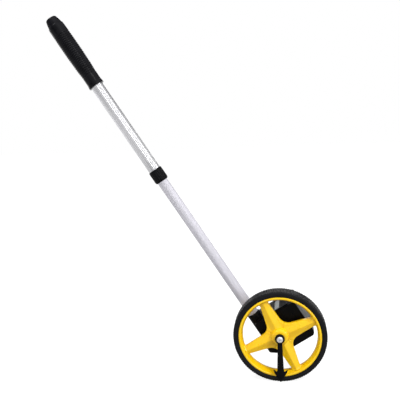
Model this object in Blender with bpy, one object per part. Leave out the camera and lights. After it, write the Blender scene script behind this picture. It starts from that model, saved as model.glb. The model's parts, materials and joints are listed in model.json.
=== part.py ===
"""Distance measuring wheel with a mechanical counter and a two-stage telescopic handle.

Metres, +Z up. The wheel's axle runs along Y. The origin is on the axle's axis, on the flat outer
face of the rear cover, so the wheel and the pointer sit at negative Y. The handle leans back over
the user's side (-X). The housing and the handle are modelled in a tilted frame whose Z runs up the
handle: in that frame X is across the handle and Y is still along the axle.
"""

import math

import bmesh
import bpy
from mathutils import Matrix, Vector

# ---------------------------------------------------------------- driving dimensions (metres)

GAP = 0.0003                     # air left between neighbouring pieces
HANDLE_TILT = math.radians(32.4)  # handle's lean from upright, towards the user

WHEEL_RADIUS = 0.079577          # 0.5 m around the tread
TYRE_FRONT = -0.0104            # tyre and rim faces, from the wheel's middle plane
TYRE_BACK = 0.0168
TYRE_BAND = 0.0090               # radial height of the tyre outside the rim
RIM_FRONT = -0.0110
RIM_BACK = 0.0140
RIM_WALL = 0.0058
RIM_STEP = 0.0016                # the rim's middle is this much thicker, inwards, than its sides
RIM_FLANGE = 0.0028              # axial width of the flange on each side of the tyre's groove
GROOVE_SIDE = 0.0036             # rim's face to its groove
GROOVE_DEPTH = 0.0017
TYRE_SHOULDER = 0.0016
WHEEL_SEGMENTS = 72
HUB_SEGMENTS = 36
SMALL_SEGMENTS = 16               # bushes, washers and other small round pieces
SPOKES = 4
SPOKE_ANGLE = math.radians(25.0)  # first spoke, measured from +X towards +Z
SPOKE_EDGE_AT_AXIS = 0.0165      # half width of a spoke, if it ran on to the axle
SPOKE_TAPER = 0.15               # half width lost for each metre of radius
SPOKE_HUB_FILLET = 0.0170
SPOKE_RIM_FILLET = 0.0040
CORNER_STEPS = 3                 # facets of the fillet at each end of a spoke opening
RIM_STEPS = 10                   # facets of the opening's long side, along the rim
SPOKE_FRONT = -0.0030            # web's front and back, from the wheel's middle plane
SPOKE_BACK = 0.0050
SPOKE_RIDGE = 0.0038             # height of the roof along a spoke

HOUSING_DEPTH = 0.0720           # front wall's outer face to the rear cover's outer face
WHEEL_Y = -0.0880                # wheel's middle plane
WALL = 0.0022
COVER_THICKNESS = 0.0021
OVERCUT = 0.0010                 # how far a cutting tool runs past the face it cuts through
CASE_LEFT = -0.0310
CASE_RIGHT = 0.0500
CASE_TOP = 0.0335
CASE_BOTTOM = -0.0350
CASE_HEEL = -0.0360              # the lower left corner swells out to here
POST_RADIUS = 0.0032             # posts for the cover screws and the drum shaft's boss
PILOT_RADIUS = 0.0016
PILOT_DEPTH = 0.0120
HUB_HOLE_RADIUS = 0.0115

AXLE_RADIUS = 0.0030
AXLE_THREAD_RADIUS = 0.0022
AXLE_THREAD_DEPTH = 0.0130
AXLE_BOSS_RADIUS = 0.0065
BUSH_WALL = 0.0009
BUSH_LENGTH = 0.0120
HUB_RADIUS = 0.0160
HUB_FRONT = -0.0130              # from the wheel's middle plane
HUB_BACK = 0.0130
SLEEVE_RADIUS = 0.0058           # hub's rear sleeve, which carries the drive gear
SLEEVE_END = 0.0252

GEAR_MODULE = 0.0009
DRIVE_TEETH = 20
COUNTER_TEETH = 40
GEAR_FRONT = 0.0205              # both main gears, from the wheel's middle plane
GEAR_THICKNESS = 0.0036

DRUM_COUNT = 5
DRUM_X = 0.0243                  # drum shaft, across and up the handle frame
DRUM_Z = 0.01177
DRUM_RADIUS = 0.0150
DRUM_PITCH = 0.0106
DRUM_WIDTH = 0.0102
DRUM_FIRST = 0.0272              # front of the first drum, from the wheel's middle plane
DRUM_SHAFT_RADIUS = 0.0015
RING_MODULE = 0.0013
RING_TEETH = 20
PINION_TEETH = 8
RING_WIDTH = 0.0020
PINION_DIRECTION = math.radians(-60.0)
PINION_SHAFT_RADIUS = 0.0012

RESET_X = 0.0433
RESET_Z = 0.0220
RESET_MODULE = 0.0008
RESET_TEETH = 8
IDLER_TEETH = 18
SHAFT_GEAR_TEETH = 20
RESET_GEAR_FRONT = 0.0828
RESET_GEAR_THICKNESS = 0.0018
RESET_SHAFT_RADIUS = 0.0020
RESET_NECK_RADIUS = 0.0012
KNOB_RADIUS = 0.0075
KNOB_HEIGHT = 0.0085
KNOB_SHAFT_DEPTH = 0.0055        # how far the shaft runs into the knob
KNOB_GROOVES = 12
KNOB_GROOVE_DEPTH = 0.0009

FRAME_FRONT = 0.0250
FRAME_BACK = 0.0808
FRAME_PLATE = 0.0014

WINDOW_LEFT = 0.0097
WINDOW_RIGHT = 0.0210
WINDOW_FRONT = 0.0243
WINDOW_BACK = 0.0815
BEZEL_LEFT = 0.0070
BEZEL_RIGHT = 0.0380
BEZEL_FRONT = 0.0190
BEZEL_BACK = 0.0845
BEZEL_GROOVES = ((0.0250, 0.0272), (0.0296, 0.0318))
BEZEL_HEIGHT = 0.0014
LENS_THICKNESS = 0.0016

TUBE_X = -0.0268                 # handle's axis, in the tilted frame
TUBE_Y = 0.0430                  # from the wheel's middle plane
SOCKET_RADIUS = 0.0118
SOCKET_TOP = 0.0460
SOCKET_FOOT = -0.0140
SOCKET_SCREW_Z = 0.0400          # the screw that holds the lower tube
SOCKET_SCREW_HOLE = 0.0018
SOCKET_PAD_RADIUS = 0.0042
SOCKET_PAD_START = 0.0040        # from the tube's axis
LOWER_TUBE_RADIUS = 0.0095
LOWER_TUBE_BOTTOM = -0.0090
LOWER_TUBE_TOP = 0.3920
UPPER_TUBE_RADIUS = 0.0110
UPPER_TUBE_BOTTOM = 0.3410
UPPER_TUBE_TOP = 0.6600
TUBE_WALL = 0.0010
TUBE_FLUTES = 28
FLUTE_DEPTH = 0.00022

COLLAR_RADIUS = 0.0128
COLLAR_BOTTOM = 0.3310
COLLAR_TOP = 0.3548
COLLAR_FOOT = 0.0018             # height of the collar's inturned foot
COLLAR_RIBS = 16
COLLAR_RIB_DEPTH = 0.0004

GRIP_BOTTOM = 0.5324
GRIP_TOP = 0.6718
# Outside of the grip: (radius, height up the handle), from the flared foot to the tapered head.
GRIP_OUTSIDE = ((0.0143, GRIP_BOTTOM), (0.0143, 0.5355), (0.0134, 0.5400), (0.0134, 0.5530),
                (0.0145, 0.5750), (0.0151, 0.6000), (0.0150, 0.6250), (0.0142, 0.6565), (0.0130, 0.6595),
                (0.0119, 0.6645), (0.0106, 0.6690), (0.0094, GRIP_TOP))

POINTER_BACK = -0.0147
POINTER_FRONT = -0.0192
POINTER_BOSS_RADIUS = 0.0082
POINTER_TIP = 0.0762
SCREW_HEAD_RADIUS = 0.0053
SCREW_HEAD_HEIGHT = 0.0032
SCREW_SHOULDER = 0.0026          # plain part of the screw, on which the pointer swings

COVER_SCREWS = ((0.0440, -0.0290), (-0.0290, -0.0190), (-0.0080, 0.0275), (0.0450, -0.0040))

# ---------------------------------------------------------------- materials


def make_material(name, colour, roughness, metallic=0.0, alpha=1.0):
    material = bpy.data.materials.new(name)
    material.use_nodes = True
    shader = material.node_tree.nodes["Principled BSDF"]
    shader.inputs["Base Color"].default_value = (*colour, 1.0)
    shader.inputs["Roughness"].default_value = roughness
    shader.inputs["Metallic"].default_value = metallic
    shader.inputs["Alpha"].default_value = alpha
    material.diffuse_color = (*colour, alpha)
    return material


def make_materials():
    return {
        "yellow": make_material("yellow_plastic", (0.95, 0.62, 0.02), 0.30),
        "case": make_material("black_plastic", (0.018, 0.018, 0.022), 0.38),
        "dark": make_material("dark_plastic", (0.03, 0.03, 0.035), 0.50),
        "rubber": make_material("tyre_rubber", (0.02, 0.02, 0.022), 0.75),
        "grip": make_material("grip_rubber", (0.02, 0.02, 0.02), 0.55),
        "aluminium": make_material("aluminium", (0.78, 0.78, 0.80), 0.30, 1.0),
        "steel": make_material("steel", (0.60, 0.60, 0.62), 0.28, 1.0),
        "chrome": make_material("bright_plate", (0.85, 0.85, 0.86), 0.12, 1.0),
        "brass": make_material("brass", (0.75, 0.55, 0.25), 0.30, 1.0),
        "white": make_material("white_plastic", (0.85, 0.85, 0.83), 0.40),
        "clear": make_material("clear_plastic", (0.80, 0.83, 0.85), 0.05, 0.0, 0.35),
    }


# ---------------------------------------------------------------- building tools


def clear_scene():
    for old in list(bpy.data.objects):
        bpy.data.objects.remove(old, do_unlink=True)


def finish_object(name, mesh_builder, material, parent, location=(0.0, 0.0, 0.0), turn=0.0):
    """Turns a bmesh into a named object. turn rotates it about Y, counted from +X towards +Z."""
    bmesh.ops.recalc_face_normals(mesh_builder, faces=mesh_builder.faces[:])
    mesh = bpy.data.meshes.new(name)
    mesh_builder.to_mesh(mesh)
    mesh_builder.free()
    mesh.shade_smooth()
    mesh.set_sharp_from_angle(angle=math.radians(35.0))
    piece = bpy.data.objects.new(name, mesh)
    bpy.context.scene.collection.objects.link(piece)
    if material is not None:
        mesh.materials.append(material)
    piece.parent = parent
    piece.location = location
    piece.rotation_euler = (0.0, -turn, 0.0)
    return piece


def turned_mesh(profile, axis, segments):
    """Spins a closed profile of (radius, distance along the axis) points about Y or Z."""
    builder = bmesh.new()
    corners = [builder.verts.new((radius, 0.0, along)) for radius, along in profile]
    edges = [builder.edges.new((corners[i - 1], corners[i])) for i in range(len(corners))]
    on_axis = [edge for edge in edges if max(abs(v.co.x) for v in edge.verts) < 1e-9]
    bmesh.ops.delete(builder, geom=on_axis, context="EDGES_FACES")
    edges = [edge for edge in edges if edge.is_valid]
    bmesh.ops.spin(builder, geom=edges, cent=(0, 0, 0), axis=(0, 0, 1), dvec=(0, 0, 0),
                   angle=2.0 * math.pi, steps=segments, use_merge=True, use_duplicate=False)
    bmesh.ops.remove_doubles(builder, verts=builder.verts[:], dist=1e-7)
    if axis == "Y":
        to_y = Matrix.Rotation(math.radians(-90.0), 3, "X")
        bmesh.ops.rotate(builder, cent=(0, 0, 0), matrix=to_y, verts=builder.verts[:])
    return builder


def turned(name, profile, axis, segments, material, parent, location=(0.0, 0.0, 0.0)):
    return finish_object(name, turned_mesh(profile, axis, segments), material, parent, location)


def extruded_mesh(loops, axis, start, end):
    """Fills the first loop, less the others as holes, and pulls it along Y or Z."""
    builder = bmesh.new()
    edges = []
    for loop in loops:
        if axis == "Y":
            corners = [builder.verts.new((u, start, v)) for u, v in loop]
        else:
            corners = [builder.verts.new((u, v, start)) for u, v in loop]
        edges += [builder.edges.new((corners[i - 1], corners[i])) for i in range(len(corners))]
    filled = bmesh.ops.triangle_fill(builder, use_beauty=True, edges=edges)
    faces = [item for item in filled["geom"] if isinstance(item, bmesh.types.BMFace)]
    pulled = bmesh.ops.extrude_face_region(builder, geom=faces)
    moved = [item for item in pulled["geom"] if isinstance(item, bmesh.types.BMVert)]
    step = Vector((0, end - start, 0)) if axis == "Y" else Vector((0, 0, end - start))
    bmesh.ops.translate(builder, vec=step, verts=moved)
    return builder


def extruded(name, loops, axis, start, end, material, parent, location=(0.0, 0.0, 0.0), turn=0.0):
    builder = extruded_mesh(loops, axis, start, end)
    return finish_object(name, builder, material, parent, location, turn)


def circle(radius, segments, centre=(0.0, 0.0), phase=0.0):
    angles = [phase + 2.0 * math.pi * i / segments for i in range(segments)]
    return [(centre[0] + radius * math.cos(a), centre[1] + radius * math.sin(a)) for a in angles]


def rectangle(left, right, low, high):
    return [(left, low), (right, low), (right, high), (left, high)]


def rounded(corners, radii, steps=4):
    """Replaces each corner of a polygon with an arc."""
    outline = []
    for i, corner in enumerate(corners):
        here = Vector(corner)
        back = (Vector(corners[i - 1]) - here).normalized()
        ahead = (Vector(corners[(i + 1) % len(corners)]) - here).normalized()
        radius = radii[i]
        half = back.angle(ahead) / 2.0
        centre = here + (back + ahead).normalized() * (radius / math.sin(half))
        first = here + back * (radius / math.tan(half)) - centre
        last = here + ahead * (radius / math.tan(half)) - centre
        sweep = first.angle_signed(last)
        for step in range(steps + 1):
            arm = first.copy()
            arm.rotate(Matrix.Rotation(-sweep * step / steps, 2))
            outline.append(tuple(centre + arm))
    return outline


def inset(corners, distance):
    """Moves every side of an anticlockwise polygon inwards."""
    moved = []
    count = len(corners)
    for i in range(count):
        before = Vector(corners[i - 1])
        here = Vector(corners[i])
        after = Vector(corners[(i + 1) % count])
        side_in = (here - before).normalized()
        side_out = (after - here).normalized()
        normal_in = Vector((-side_in.y, side_in.x))
        normal_out = Vector((-side_out.y, side_out.x))
        middle = (normal_in + normal_out).normalized()
        moved.append(tuple(here + middle * (distance / middle.dot(normal_in))))
    return moved


def box_mesh(low, high):
    builder = bmesh.new()
    bmesh.ops.create_cube(builder, size=1.0)
    size = Vector(high) - Vector(low)
    bmesh.ops.scale(builder, vec=size, verts=builder.verts[:])
    bmesh.ops.translate(builder, vec=(Vector(low) + Vector(high)) / 2.0, verts=builder.verts[:])
    return builder


def combine(target, tool_name, builder, operation, parent=None, location=(0.0, 0.0, 0.0)):
    """Adds a hidden tool solid and a Boolean that joins it to the target or cuts it away."""
    owner = parent if parent is not None else target.parent
    tool = finish_object(tool_name, builder, None, owner, location)
    tool.hide_render = True
    tool.hide_viewport = False
    tool.display_type = "WIRE"
    boolean = target.modifiers.new(tool_name, "BOOLEAN")
    boolean.operation = operation
    boolean.solver = "EXACT"
    boolean.object = tool


def rod(radius, start, end, segments=24, axis="Y"):
    return turned_mesh([(0.0, start), (radius, start), (radius, end), (0.0, end)], axis, segments)


def ring_profile(inner, outer, start, end):
    return [(inner, start), (outer, start), (outer, end), (inner, end)]


def gear_outline(teeth, module, phase):
    """Straight-flanked teeth, thinned for running clearance, with one tooth centred on phase."""
    pitch = 2.0 * math.pi / teeth
    pitch_radius = teeth * module / 2.0
    root = pitch_radius - 1.25 * module
    tip = pitch_radius + 0.95 * module
    root_half = 0.30 * pitch
    tip_half = 0.11 * pitch
    outline = []
    for tooth in range(teeth):
        centre = phase + tooth * pitch
        for radius, angle in ((root, -root_half), (tip, -tip_half), (tip, tip_half), (root, root_half)):
            outline.append((radius * math.cos(centre + angle), radius * math.sin(centre + angle)))
    return outline


def pointed_gear_outline(teeth, module, phase):
    """Plain pointed teeth for the small counter wheels, one point centred on phase."""
    pitch = 2.0 * math.pi / teeth
    pitch_radius = teeth * module / 2.0
    root = pitch_radius - 1.20 * module
    tip = pitch_radius + 0.60 * module
    outline = []
    for tooth in range(teeth):
        centre = phase + tooth * pitch
        outline.append((tip * math.cos(centre), tip * math.sin(centre)))
        valley = centre + pitch / 2.0
        outline.append((root * math.cos(valley), root * math.sin(valley)))
    return outline


def mating_phase(direction, teeth):
    """Turns a gear so that a gap, not a tooth, faces back along direction."""
    return direction + math.pi + math.pi / teeth


# ---------------------------------------------------------------- wheel


def spoke_opening():
    """Outline of the gap between the spoke at angle 0 and the spoke at angle 90 degrees."""
    rim_inner = WHEEL_RADIUS - TYRE_BAND - GAP - RIM_WALL - RIM_STEP
    edge_length = math.sqrt(1.0 + SPOKE_TAPER ** 2)
    corner = SPOKE_EDGE_AT_AXIS / (1.0 + SPOKE_TAPER)
    # The hub fillet touches both spoke edges, so its centre lies on the diagonal.
    centre = corner + SPOKE_HUB_FILLET * edge_length / (1.0 + SPOKE_TAPER)
    lean = math.atan(SPOKE_TAPER)
    outline = []
    fillet_steps = 6
    for step in range(fillet_steps + 1):
        angle = math.radians(180.0) - lean + (math.radians(90.0) + 2.0 * lean) * step / fillet_steps
        outline.append((centre + SPOKE_HUB_FILLET * math.cos(angle),
                        centre + SPOKE_HUB_FILLET * math.sin(angle)))
    reach = rim_inner - SPOKE_RIM_FILLET
    low = math.asin((SPOKE_EDGE_AT_AXIS - SPOKE_TAPER * reach + SPOKE_RIM_FILLET) / reach)
    ends = (low, math.pi / 2.0 - low)
    rim_side = []
    for end, turn in zip(ends, (-1.0, 1.0)):
        middle = (reach * math.cos(end), reach * math.sin(end))
        start = end + (turn * math.pi / 2.0 if turn < 0 else 0.0)
        for step in range(CORNER_STEPS + 1):
            angle = start + math.pi / 2.0 * step / CORNER_STEPS
            rim_side.append((middle[0] + SPOKE_RIM_FILLET * math.cos(angle),
                             middle[1] + SPOKE_RIM_FILLET * math.sin(angle)))
        if turn < 0:
            for step in range(1, RIM_STEPS):
                angle = ends[0] + (ends[1] - ends[0]) * step / RIM_STEPS
                rim_side.append((rim_inner * math.cos(angle), rim_inner * math.sin(angle)))
    return outline + rim_side


def turn_points(points, angle):
    cos_a = math.cos(angle)
    sin_a = math.sin(angle)
    return [(u * cos_a - v * sin_a, u * sin_a + v * cos_a) for u, v in points]


def ridge_mesh(angle):
    """A low roof along one spoke, from the hub to the rim."""
    builder = bmesh.new()
    inside_hub = 0.0040
    inside_rim = 0.0010
    edge = 0.0012
    inner = HUB_RADIUS - inside_hub
    outer = WHEEL_RADIUS - TYRE_BAND - RIM_WALL + inside_rim
    foot = SPOKE_FRONT + 0.5 * edge
    rings = []
    for radius in (inner, outer):
        half = SPOKE_EDGE_AT_AXIS - SPOKE_TAPER * radius - edge
        rings.append([builder.verts.new((radius, foot, -half)),
                      builder.verts.new((radius, foot, half)),
                      builder.verts.new((radius, SPOKE_FRONT - SPOKE_RIDGE, 0.0))])
    builder.faces.new(rings[0])
    builder.faces.new(rings[1])
    for i in range(3):
        builder.faces.new((rings[0][i - 1], rings[0][i], rings[1][i], rings[1][i - 1]))
    to_angle = Matrix.Rotation(-angle, 3, "Y")
    bmesh.ops.rotate(builder, cent=(0, 0, 0), matrix=to_angle, verts=builder.verts[:])
    return builder


def build_spoked_wheel(materials, wheel):
    lip = WHEEL_RADIUS - TYRE_BAND - GAP
    groove = lip - GROOVE_DEPTH
    inner = lip - RIM_WALL
    middle = inner - RIM_STEP
    web_into_rim = 0.0012
    profile = [(inner, RIM_FRONT), (lip, RIM_FRONT), (lip, RIM_FRONT + RIM_FLANGE),
               (groove, RIM_FRONT + GROOVE_SIDE), (groove, RIM_BACK - GROOVE_SIDE),
               (lip, RIM_BACK - RIM_FLANGE), (lip, RIM_BACK), (inner, RIM_BACK),
               (middle, SPOKE_BACK), (middle, SPOKE_FRONT)]
    body = turned("spoked_wheel", profile, "Y", WHEEL_SEGMENTS, materials["yellow"], wheel)
    spoke_angles = [SPOKE_ANGLE + i * 2.0 * math.pi / SPOKES for i in range(SPOKES)]
    web_rim = circle(inner + web_into_rim, WHEEL_SEGMENTS)
    loops = [web_rim] + [turn_points(spoke_opening(), angle) for angle in spoke_angles]
    combine(body, "web_tool", extruded_mesh(loops, "Y", SPOKE_FRONT, SPOKE_BACK), "UNION")
    for number, angle in enumerate(spoke_angles, start=1):
        combine(body, f"ridge_tool_{number}", ridge_mesh(angle), "UNION")
    combine(body, "hub_tool", turned_mesh(hub_profile(), "Y", HUB_SEGMENTS), "UNION")
    bore = AXLE_RADIUS + 2.0 * GAP + BUSH_WALL
    combine(body, "hub_bore_tool", rod(bore, HUB_FRONT - OVERCUT, SLEEVE_END + OVERCUT), "DIFFERENCE")


def hub_profile():
    """A hub that tapers to a flat nose in front, with a narrow sleeve behind for the drive gear."""
    nose = HUB_RADIUS - 0.0045
    nose_edge = HUB_RADIUS - 0.0030
    nose_bevel = 0.0012
    back = HUB_RADIUS - 0.0050
    return [(0.0, HUB_FRONT), (nose, HUB_FRONT), (nose_edge, HUB_FRONT + nose_bevel),
            (HUB_RADIUS, SPOKE_FRONT + 0.0010), (HUB_RADIUS, SPOKE_BACK + 0.0030), (back, HUB_BACK),
            (SLEEVE_RADIUS, HUB_BACK), (SLEEVE_RADIUS, SLEEVE_END), (0.0, SLEEVE_END)]


def build_tyre(materials, wheel):
    seat = WHEEL_RADIUS - TYRE_BAND
    shoulder = WHEEL_RADIUS - TYRE_SHOULDER
    bead_front = RIM_FRONT + GROOVE_SIDE + GAP
    bead_back = RIM_BACK - GROOVE_SIDE - GAP
    bead_top = seat - GROOVE_DEPTH
    widen = 0.0006                   # the bead's root is wider than its top, like the groove
    narrow = 0.0002
    profile = [(bead_top, bead_front + narrow), (seat, bead_front - widen), (seat, TYRE_FRONT),
               (shoulder, TYRE_FRONT), (WHEEL_RADIUS, TYRE_FRONT + TYRE_SHOULDER),
               (WHEEL_RADIUS, TYRE_BACK - TYRE_SHOULDER), (shoulder, TYRE_BACK),
               (seat, TYRE_BACK), (seat, bead_back + widen), (bead_top, bead_back - narrow)]
    turned("tyre", profile, "Y", WHEEL_SEGMENTS, materials["rubber"], wheel)


def build_wheel(materials, wheel, gear_direction):
    build_spoked_wheel(materials, wheel)
    build_tyre(materials, wheel)
    inner = AXLE_RADIUS + GAP
    outer = inner + BUSH_WALL
    recess = 0.0002
    front_bush = ring_profile(inner, outer, HUB_FRONT + recess, HUB_FRONT + BUSH_LENGTH)
    turned("front_bush", front_bush, "Y", SMALL_SEGMENTS, materials["brass"], wheel)
    rear_bush = ring_profile(inner, outer, SLEEVE_END - BUSH_LENGTH, SLEEVE_END - recess)
    turned("rear_bush", rear_bush, "Y", SMALL_SEGMENTS, materials["brass"], wheel)
    outline = gear_outline(DRIVE_TEETH, GEAR_MODULE, gear_direction)
    bore = circle(SLEEVE_RADIUS + GAP, SMALL_SEGMENTS)
    extruded("drive_gear", [outline, bore], "Y", GEAR_FRONT, GEAR_FRONT + GEAR_THICKNESS,
             materials["white"], wheel)


# ---------------------------------------------------------------- pointer, axle and its fasteners


def pointer_outline():
    """A tapering arm that hangs from a round boss and ends in a barbed arrowhead."""
    neck_half = 0.0040
    arm_half = 0.0056
    arm_end = 0.0585
    notch = (0.0068, arm_end)
    barb = (0.0120, 0.0545)
    cheek = (0.0085, 0.0625)
    tip_half = 0.0012
    start = math.asin(neck_half / POINTER_BOSS_RADIUS)
    sweep = 2.0 * math.pi - 2.0 * start
    steps = 16
    boss = []
    for step in range(steps + 1):
        angle = -math.pi / 2.0 + start + sweep * step / steps
        boss.append((POINTER_BOSS_RADIUS * math.cos(angle), POINTER_BOSS_RADIUS * math.sin(angle)))
    left = [(-arm_half, -arm_end + 0.0015), (-notch[0], -notch[1]), (-barb[0], -barb[1]),
            (-cheek[0], -cheek[1]), (-tip_half, -POINTER_TIP)]
    right = [(-u, v) for u, v in reversed(left)]
    return boss + left + right


def build_pointer(materials, pointer):
    arm_front = POINTER_FRONT + 0.0010
    arm_back = POINTER_BACK - 0.0004
    bore_radius = SCREW_SHOULDER + 0.00035
    outline = [pointer_outline(), circle(bore_radius, 20)]
    arm = extruded("pointer", outline, "Y", arm_front, arm_back, materials["case"], pointer)
    boss = ring_profile(bore_radius, POINTER_BOSS_RADIUS - 0.0004, POINTER_FRONT, POINTER_BACK)
    combine(arm, "pointer_boss_tool", turned_mesh(boss, "Y", 20), "UNION")


def build_axle(materials, wheel_frame):
    """The axle and everything threaded on it, in the wheel's own frame."""
    front = axle_front()
    back = -WHEEL_Y - COVER_THICKNESS - 0.0016
    thread_end = front + AXLE_THREAD_DEPTH
    profile = [(AXLE_THREAD_RADIUS, front), (AXLE_RADIUS, front), (AXLE_RADIUS, back), (0.0, back),
               (0.0, thread_end), (AXLE_THREAD_RADIUS, thread_end)]
    turned("axle", profile, "Y", SMALL_SEGMENTS, materials["steel"], wheel_frame)
    bore = AXLE_RADIUS + GAP
    front_washer = ring_profile(bore, 0.0064, front + 0.0002, HUB_FRONT - GAP)
    turned("front_washer", front_washer, "Y", SMALL_SEGMENTS, materials["steel"], wheel_frame)
    thrust_washer = ring_profile(bore, 0.0060, SLEEVE_END + GAP, SLEEVE_END + 0.0011)
    turned("thrust_washer", thrust_washer, "Y", SMALL_SEGMENTS, materials["steel"], wheel_frame)


def axle_front():
    return POINTER_BACK + 0.0005


def build_pointer_screw(materials, wheel_frame):
    """Domed screw in the axle's end, whose plain shoulder carries the pointer."""
    head_back = POINTER_FRONT - GAP
    head_front = head_back - SCREW_HEAD_HEIGHT
    dome_foot = head_front + 0.0016
    dome_middle = head_front + 0.0006
    flat = 0.0030
    shoulder_end = axle_front() - GAP
    shank = AXLE_THREAD_RADIUS - GAP
    shank_end = axle_front() + AXLE_THREAD_DEPTH - 0.0010
    profile = [(0.0, head_front), (flat, head_front), (SCREW_HEAD_RADIUS - 0.0008, dome_middle),
               (SCREW_HEAD_RADIUS, dome_foot), (SCREW_HEAD_RADIUS, head_back),
               (SCREW_SHOULDER, head_back), (SCREW_SHOULDER, shoulder_end), (shank, shoulder_end),
               (shank, shank_end), (0.0, shank_end)]
    screw = turned("pointer_screw", profile, "Y", 20, materials["chrome"], wheel_frame)
    cut_cross_recess(screw, "pointer_screw_slot", head_front, 0.0030, 0.0011, 0.0018)


def cut_cross_recess(screw, tool_name, face, half_length, width, depth):
    """A plain cross recess in a screw head whose face looks towards -Y."""
    low = face - OVERCUT
    for number, (u, v) in enumerate(((half_length, width / 2.0), (width / 2.0, half_length)), start=1):
        slot = box_mesh((-u, low, -v), (u, face + depth, v))
        combine(screw, f"{tool_name}_{number}", slot, "DIFFERENCE")


# ---------------------------------------------------------------- housing


def case_corners():
    """The housing's side view, anticlockwise from the lower left chamfer."""
    return [(-0.0180, CASE_BOTTOM), (CASE_RIGHT, CASE_BOTTOM), (CASE_RIGHT, CASE_TOP),
            (CASE_LEFT, CASE_TOP), (CASE_LEFT, 0.0050), (CASE_HEEL, -0.0120), (CASE_HEEL, -0.0225)]


def case_outline(shrink):
    radii = [0.0040, 0.0070, 0.0035, 0.0030, 0.0060, 0.0060, 0.0040]
    smaller = [max(radius - shrink, 0.0008) for radius in radii]
    return rounded(inset(case_corners(), shrink), smaller)


def build_front_case(materials, case):
    """Deep tray that opens at the back, with the handle socket moulded in one piece."""
    front = -WHEEL_Y - HOUSING_DEPTH
    back = -WHEEL_Y - COVER_THICKNESS - GAP
    inside = front + WALL
    shell = extruded("front_case", [case_outline(0.0)], "Y", front, back, materials["case"], case)
    cavity = extruded_mesh([case_outline(WALL)], "Y", inside, back + OVERCUT)
    combine(shell, "cavity_tool", cavity, "DIFFERENCE")
    add_handle_socket(shell)
    add_case_posts(shell, inside, back)
    bore = rod(LOWER_TUBE_RADIUS + GAP, LOWER_TUBE_BOTTOM - GAP, SOCKET_TOP + OVERCUT, 32, "Z")
    combine(shell, "tube_bore_tool", bore, "DIFFERENCE", location=(TUBE_X, TUBE_Y, 0.0))
    hub_hole = rod(HUB_HOLE_RADIUS, front - OVERCUT, inside + OVERCUT, 32)
    combine(shell, "hub_hole_tool", hub_hole, "DIFFERENCE")
    window = box_mesh((WINDOW_LEFT - GAP, WINDOW_FRONT - GAP, CASE_TOP - WALL - OVERCUT),
                      (WINDOW_RIGHT + GAP, WINDOW_BACK + GAP, CASE_TOP + OVERCUT))
    combine(shell, "window_tool", window, "DIFFERENCE")
    cut_case_holes(shell, inside, back)


def add_handle_socket(shell):
    """Round socket for the lower tube, with a flat pad for its screw."""
    bevel = 0.0011
    socket = [(0.0, SOCKET_FOOT), (SOCKET_RADIUS, SOCKET_FOOT), (SOCKET_RADIUS, SOCKET_TOP - bevel),
              (SOCKET_RADIUS - bevel, SOCKET_TOP), (0.0, SOCKET_TOP)]
    combine(shell, "socket_tool", turned_mesh(socket, "Z", 32), "UNION", location=(TUBE_X, TUBE_Y, 0.0))
    pad = rod(SOCKET_PAD_RADIUS, TUBE_Y + SOCKET_PAD_START, socket_pad_face(), 20)
    combine(shell, "screw_pad_tool", pad, "UNION", location=(TUBE_X, 0.0, SOCKET_SCREW_Z))


def socket_pad_face():
    return TUBE_Y + SOCKET_RADIUS + 0.0010


def add_case_posts(shell, inside, back):
    """Posts for the cover screws, and a low boss for the front end of the drum shaft."""
    root = inside - 0.0005
    for number, (across, along) in enumerate(COVER_SCREWS, start=1):
        post = rod(POST_RADIUS, root, back, 10)
        combine(shell, f"post_tool_{number}", post, "UNION", location=(across, 0.0, along))
    boss = rod(POST_RADIUS, root, inside + 0.0014, SMALL_SEGMENTS)
    combine(shell, "shaft_boss_tool", boss, "UNION", location=(DRUM_X, 0.0, DRUM_Z))


def cut_case_holes(shell, inside, back):
    """Pilot holes in the posts, the drum shaft's hole and the hole for the socket's screw."""
    for number, (across, along) in enumerate(COVER_SCREWS, start=1):
        pilot = rod(PILOT_RADIUS, back - PILOT_DEPTH, back + OVERCUT, 10)
        combine(shell, f"pilot_tool_{number}", pilot, "DIFFERENCE", location=(across, 0.0, along))
    shaft_hole = rod(DRUM_SHAFT_RADIUS + GAP, inside - 0.0002, inside + 0.003, SMALL_SEGMENTS)
    combine(shell, "shaft_hole_tool", shaft_hole, "DIFFERENCE", location=(DRUM_X, 0.0, DRUM_Z))
    screw_hole = rod(SOCKET_SCREW_HOLE, TUBE_Y + SOCKET_PAD_START, socket_pad_face() + OVERCUT,
                     SMALL_SEGMENTS)
    combine(shell, "screw_hole_tool", screw_hole, "DIFFERENCE", location=(TUBE_X, 0.0, SOCKET_SCREW_Z))


def build_rear_cover(materials, case):
    """Flat plate with the long boss that holds the axle."""
    outer = -WHEEL_Y
    inner = outer - COVER_THICKNESS
    cover = extruded("rear_cover", [case_outline(0.0)], "Y", inner, outer, materials["case"], case)
    boss_front = SLEEVE_END + 0.0014
    bore_end = inner - 0.0012
    boss = rod(AXLE_BOSS_RADIUS, boss_front, inner + 0.0005, 28)
    combine(cover, "axle_boss_tool", boss, "UNION")
    combine(cover, "axle_bore_tool", rod(AXLE_RADIUS + GAP, boss_front - OVERCUT, bore_end), "DIFFERENCE")
    knob_hole = rod(RESET_SHAFT_RADIUS + GAP, inner - OVERCUT, outer + OVERCUT, 20)
    combine(cover, "reset_hole_tool", knob_hole, "DIFFERENCE", location=(RESET_X, 0.0, RESET_Z))
    hole = 0.0017
    sink = 0.0032
    profile = [(0.0, inner - OVERCUT), (hole, inner - OVERCUT), (hole, inner + 0.0002),
               (sink, outer - 0.0001), (sink, outer + OVERCUT), (0.0, outer + OVERCUT)]
    for number, (across, along) in enumerate(COVER_SCREWS, start=1):
        tool = turned_mesh(profile, "Y", 12)
        combine(cover, f"sink_tool_{number}", tool, "DIFFERENCE", location=(across, 0.0, along))


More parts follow.
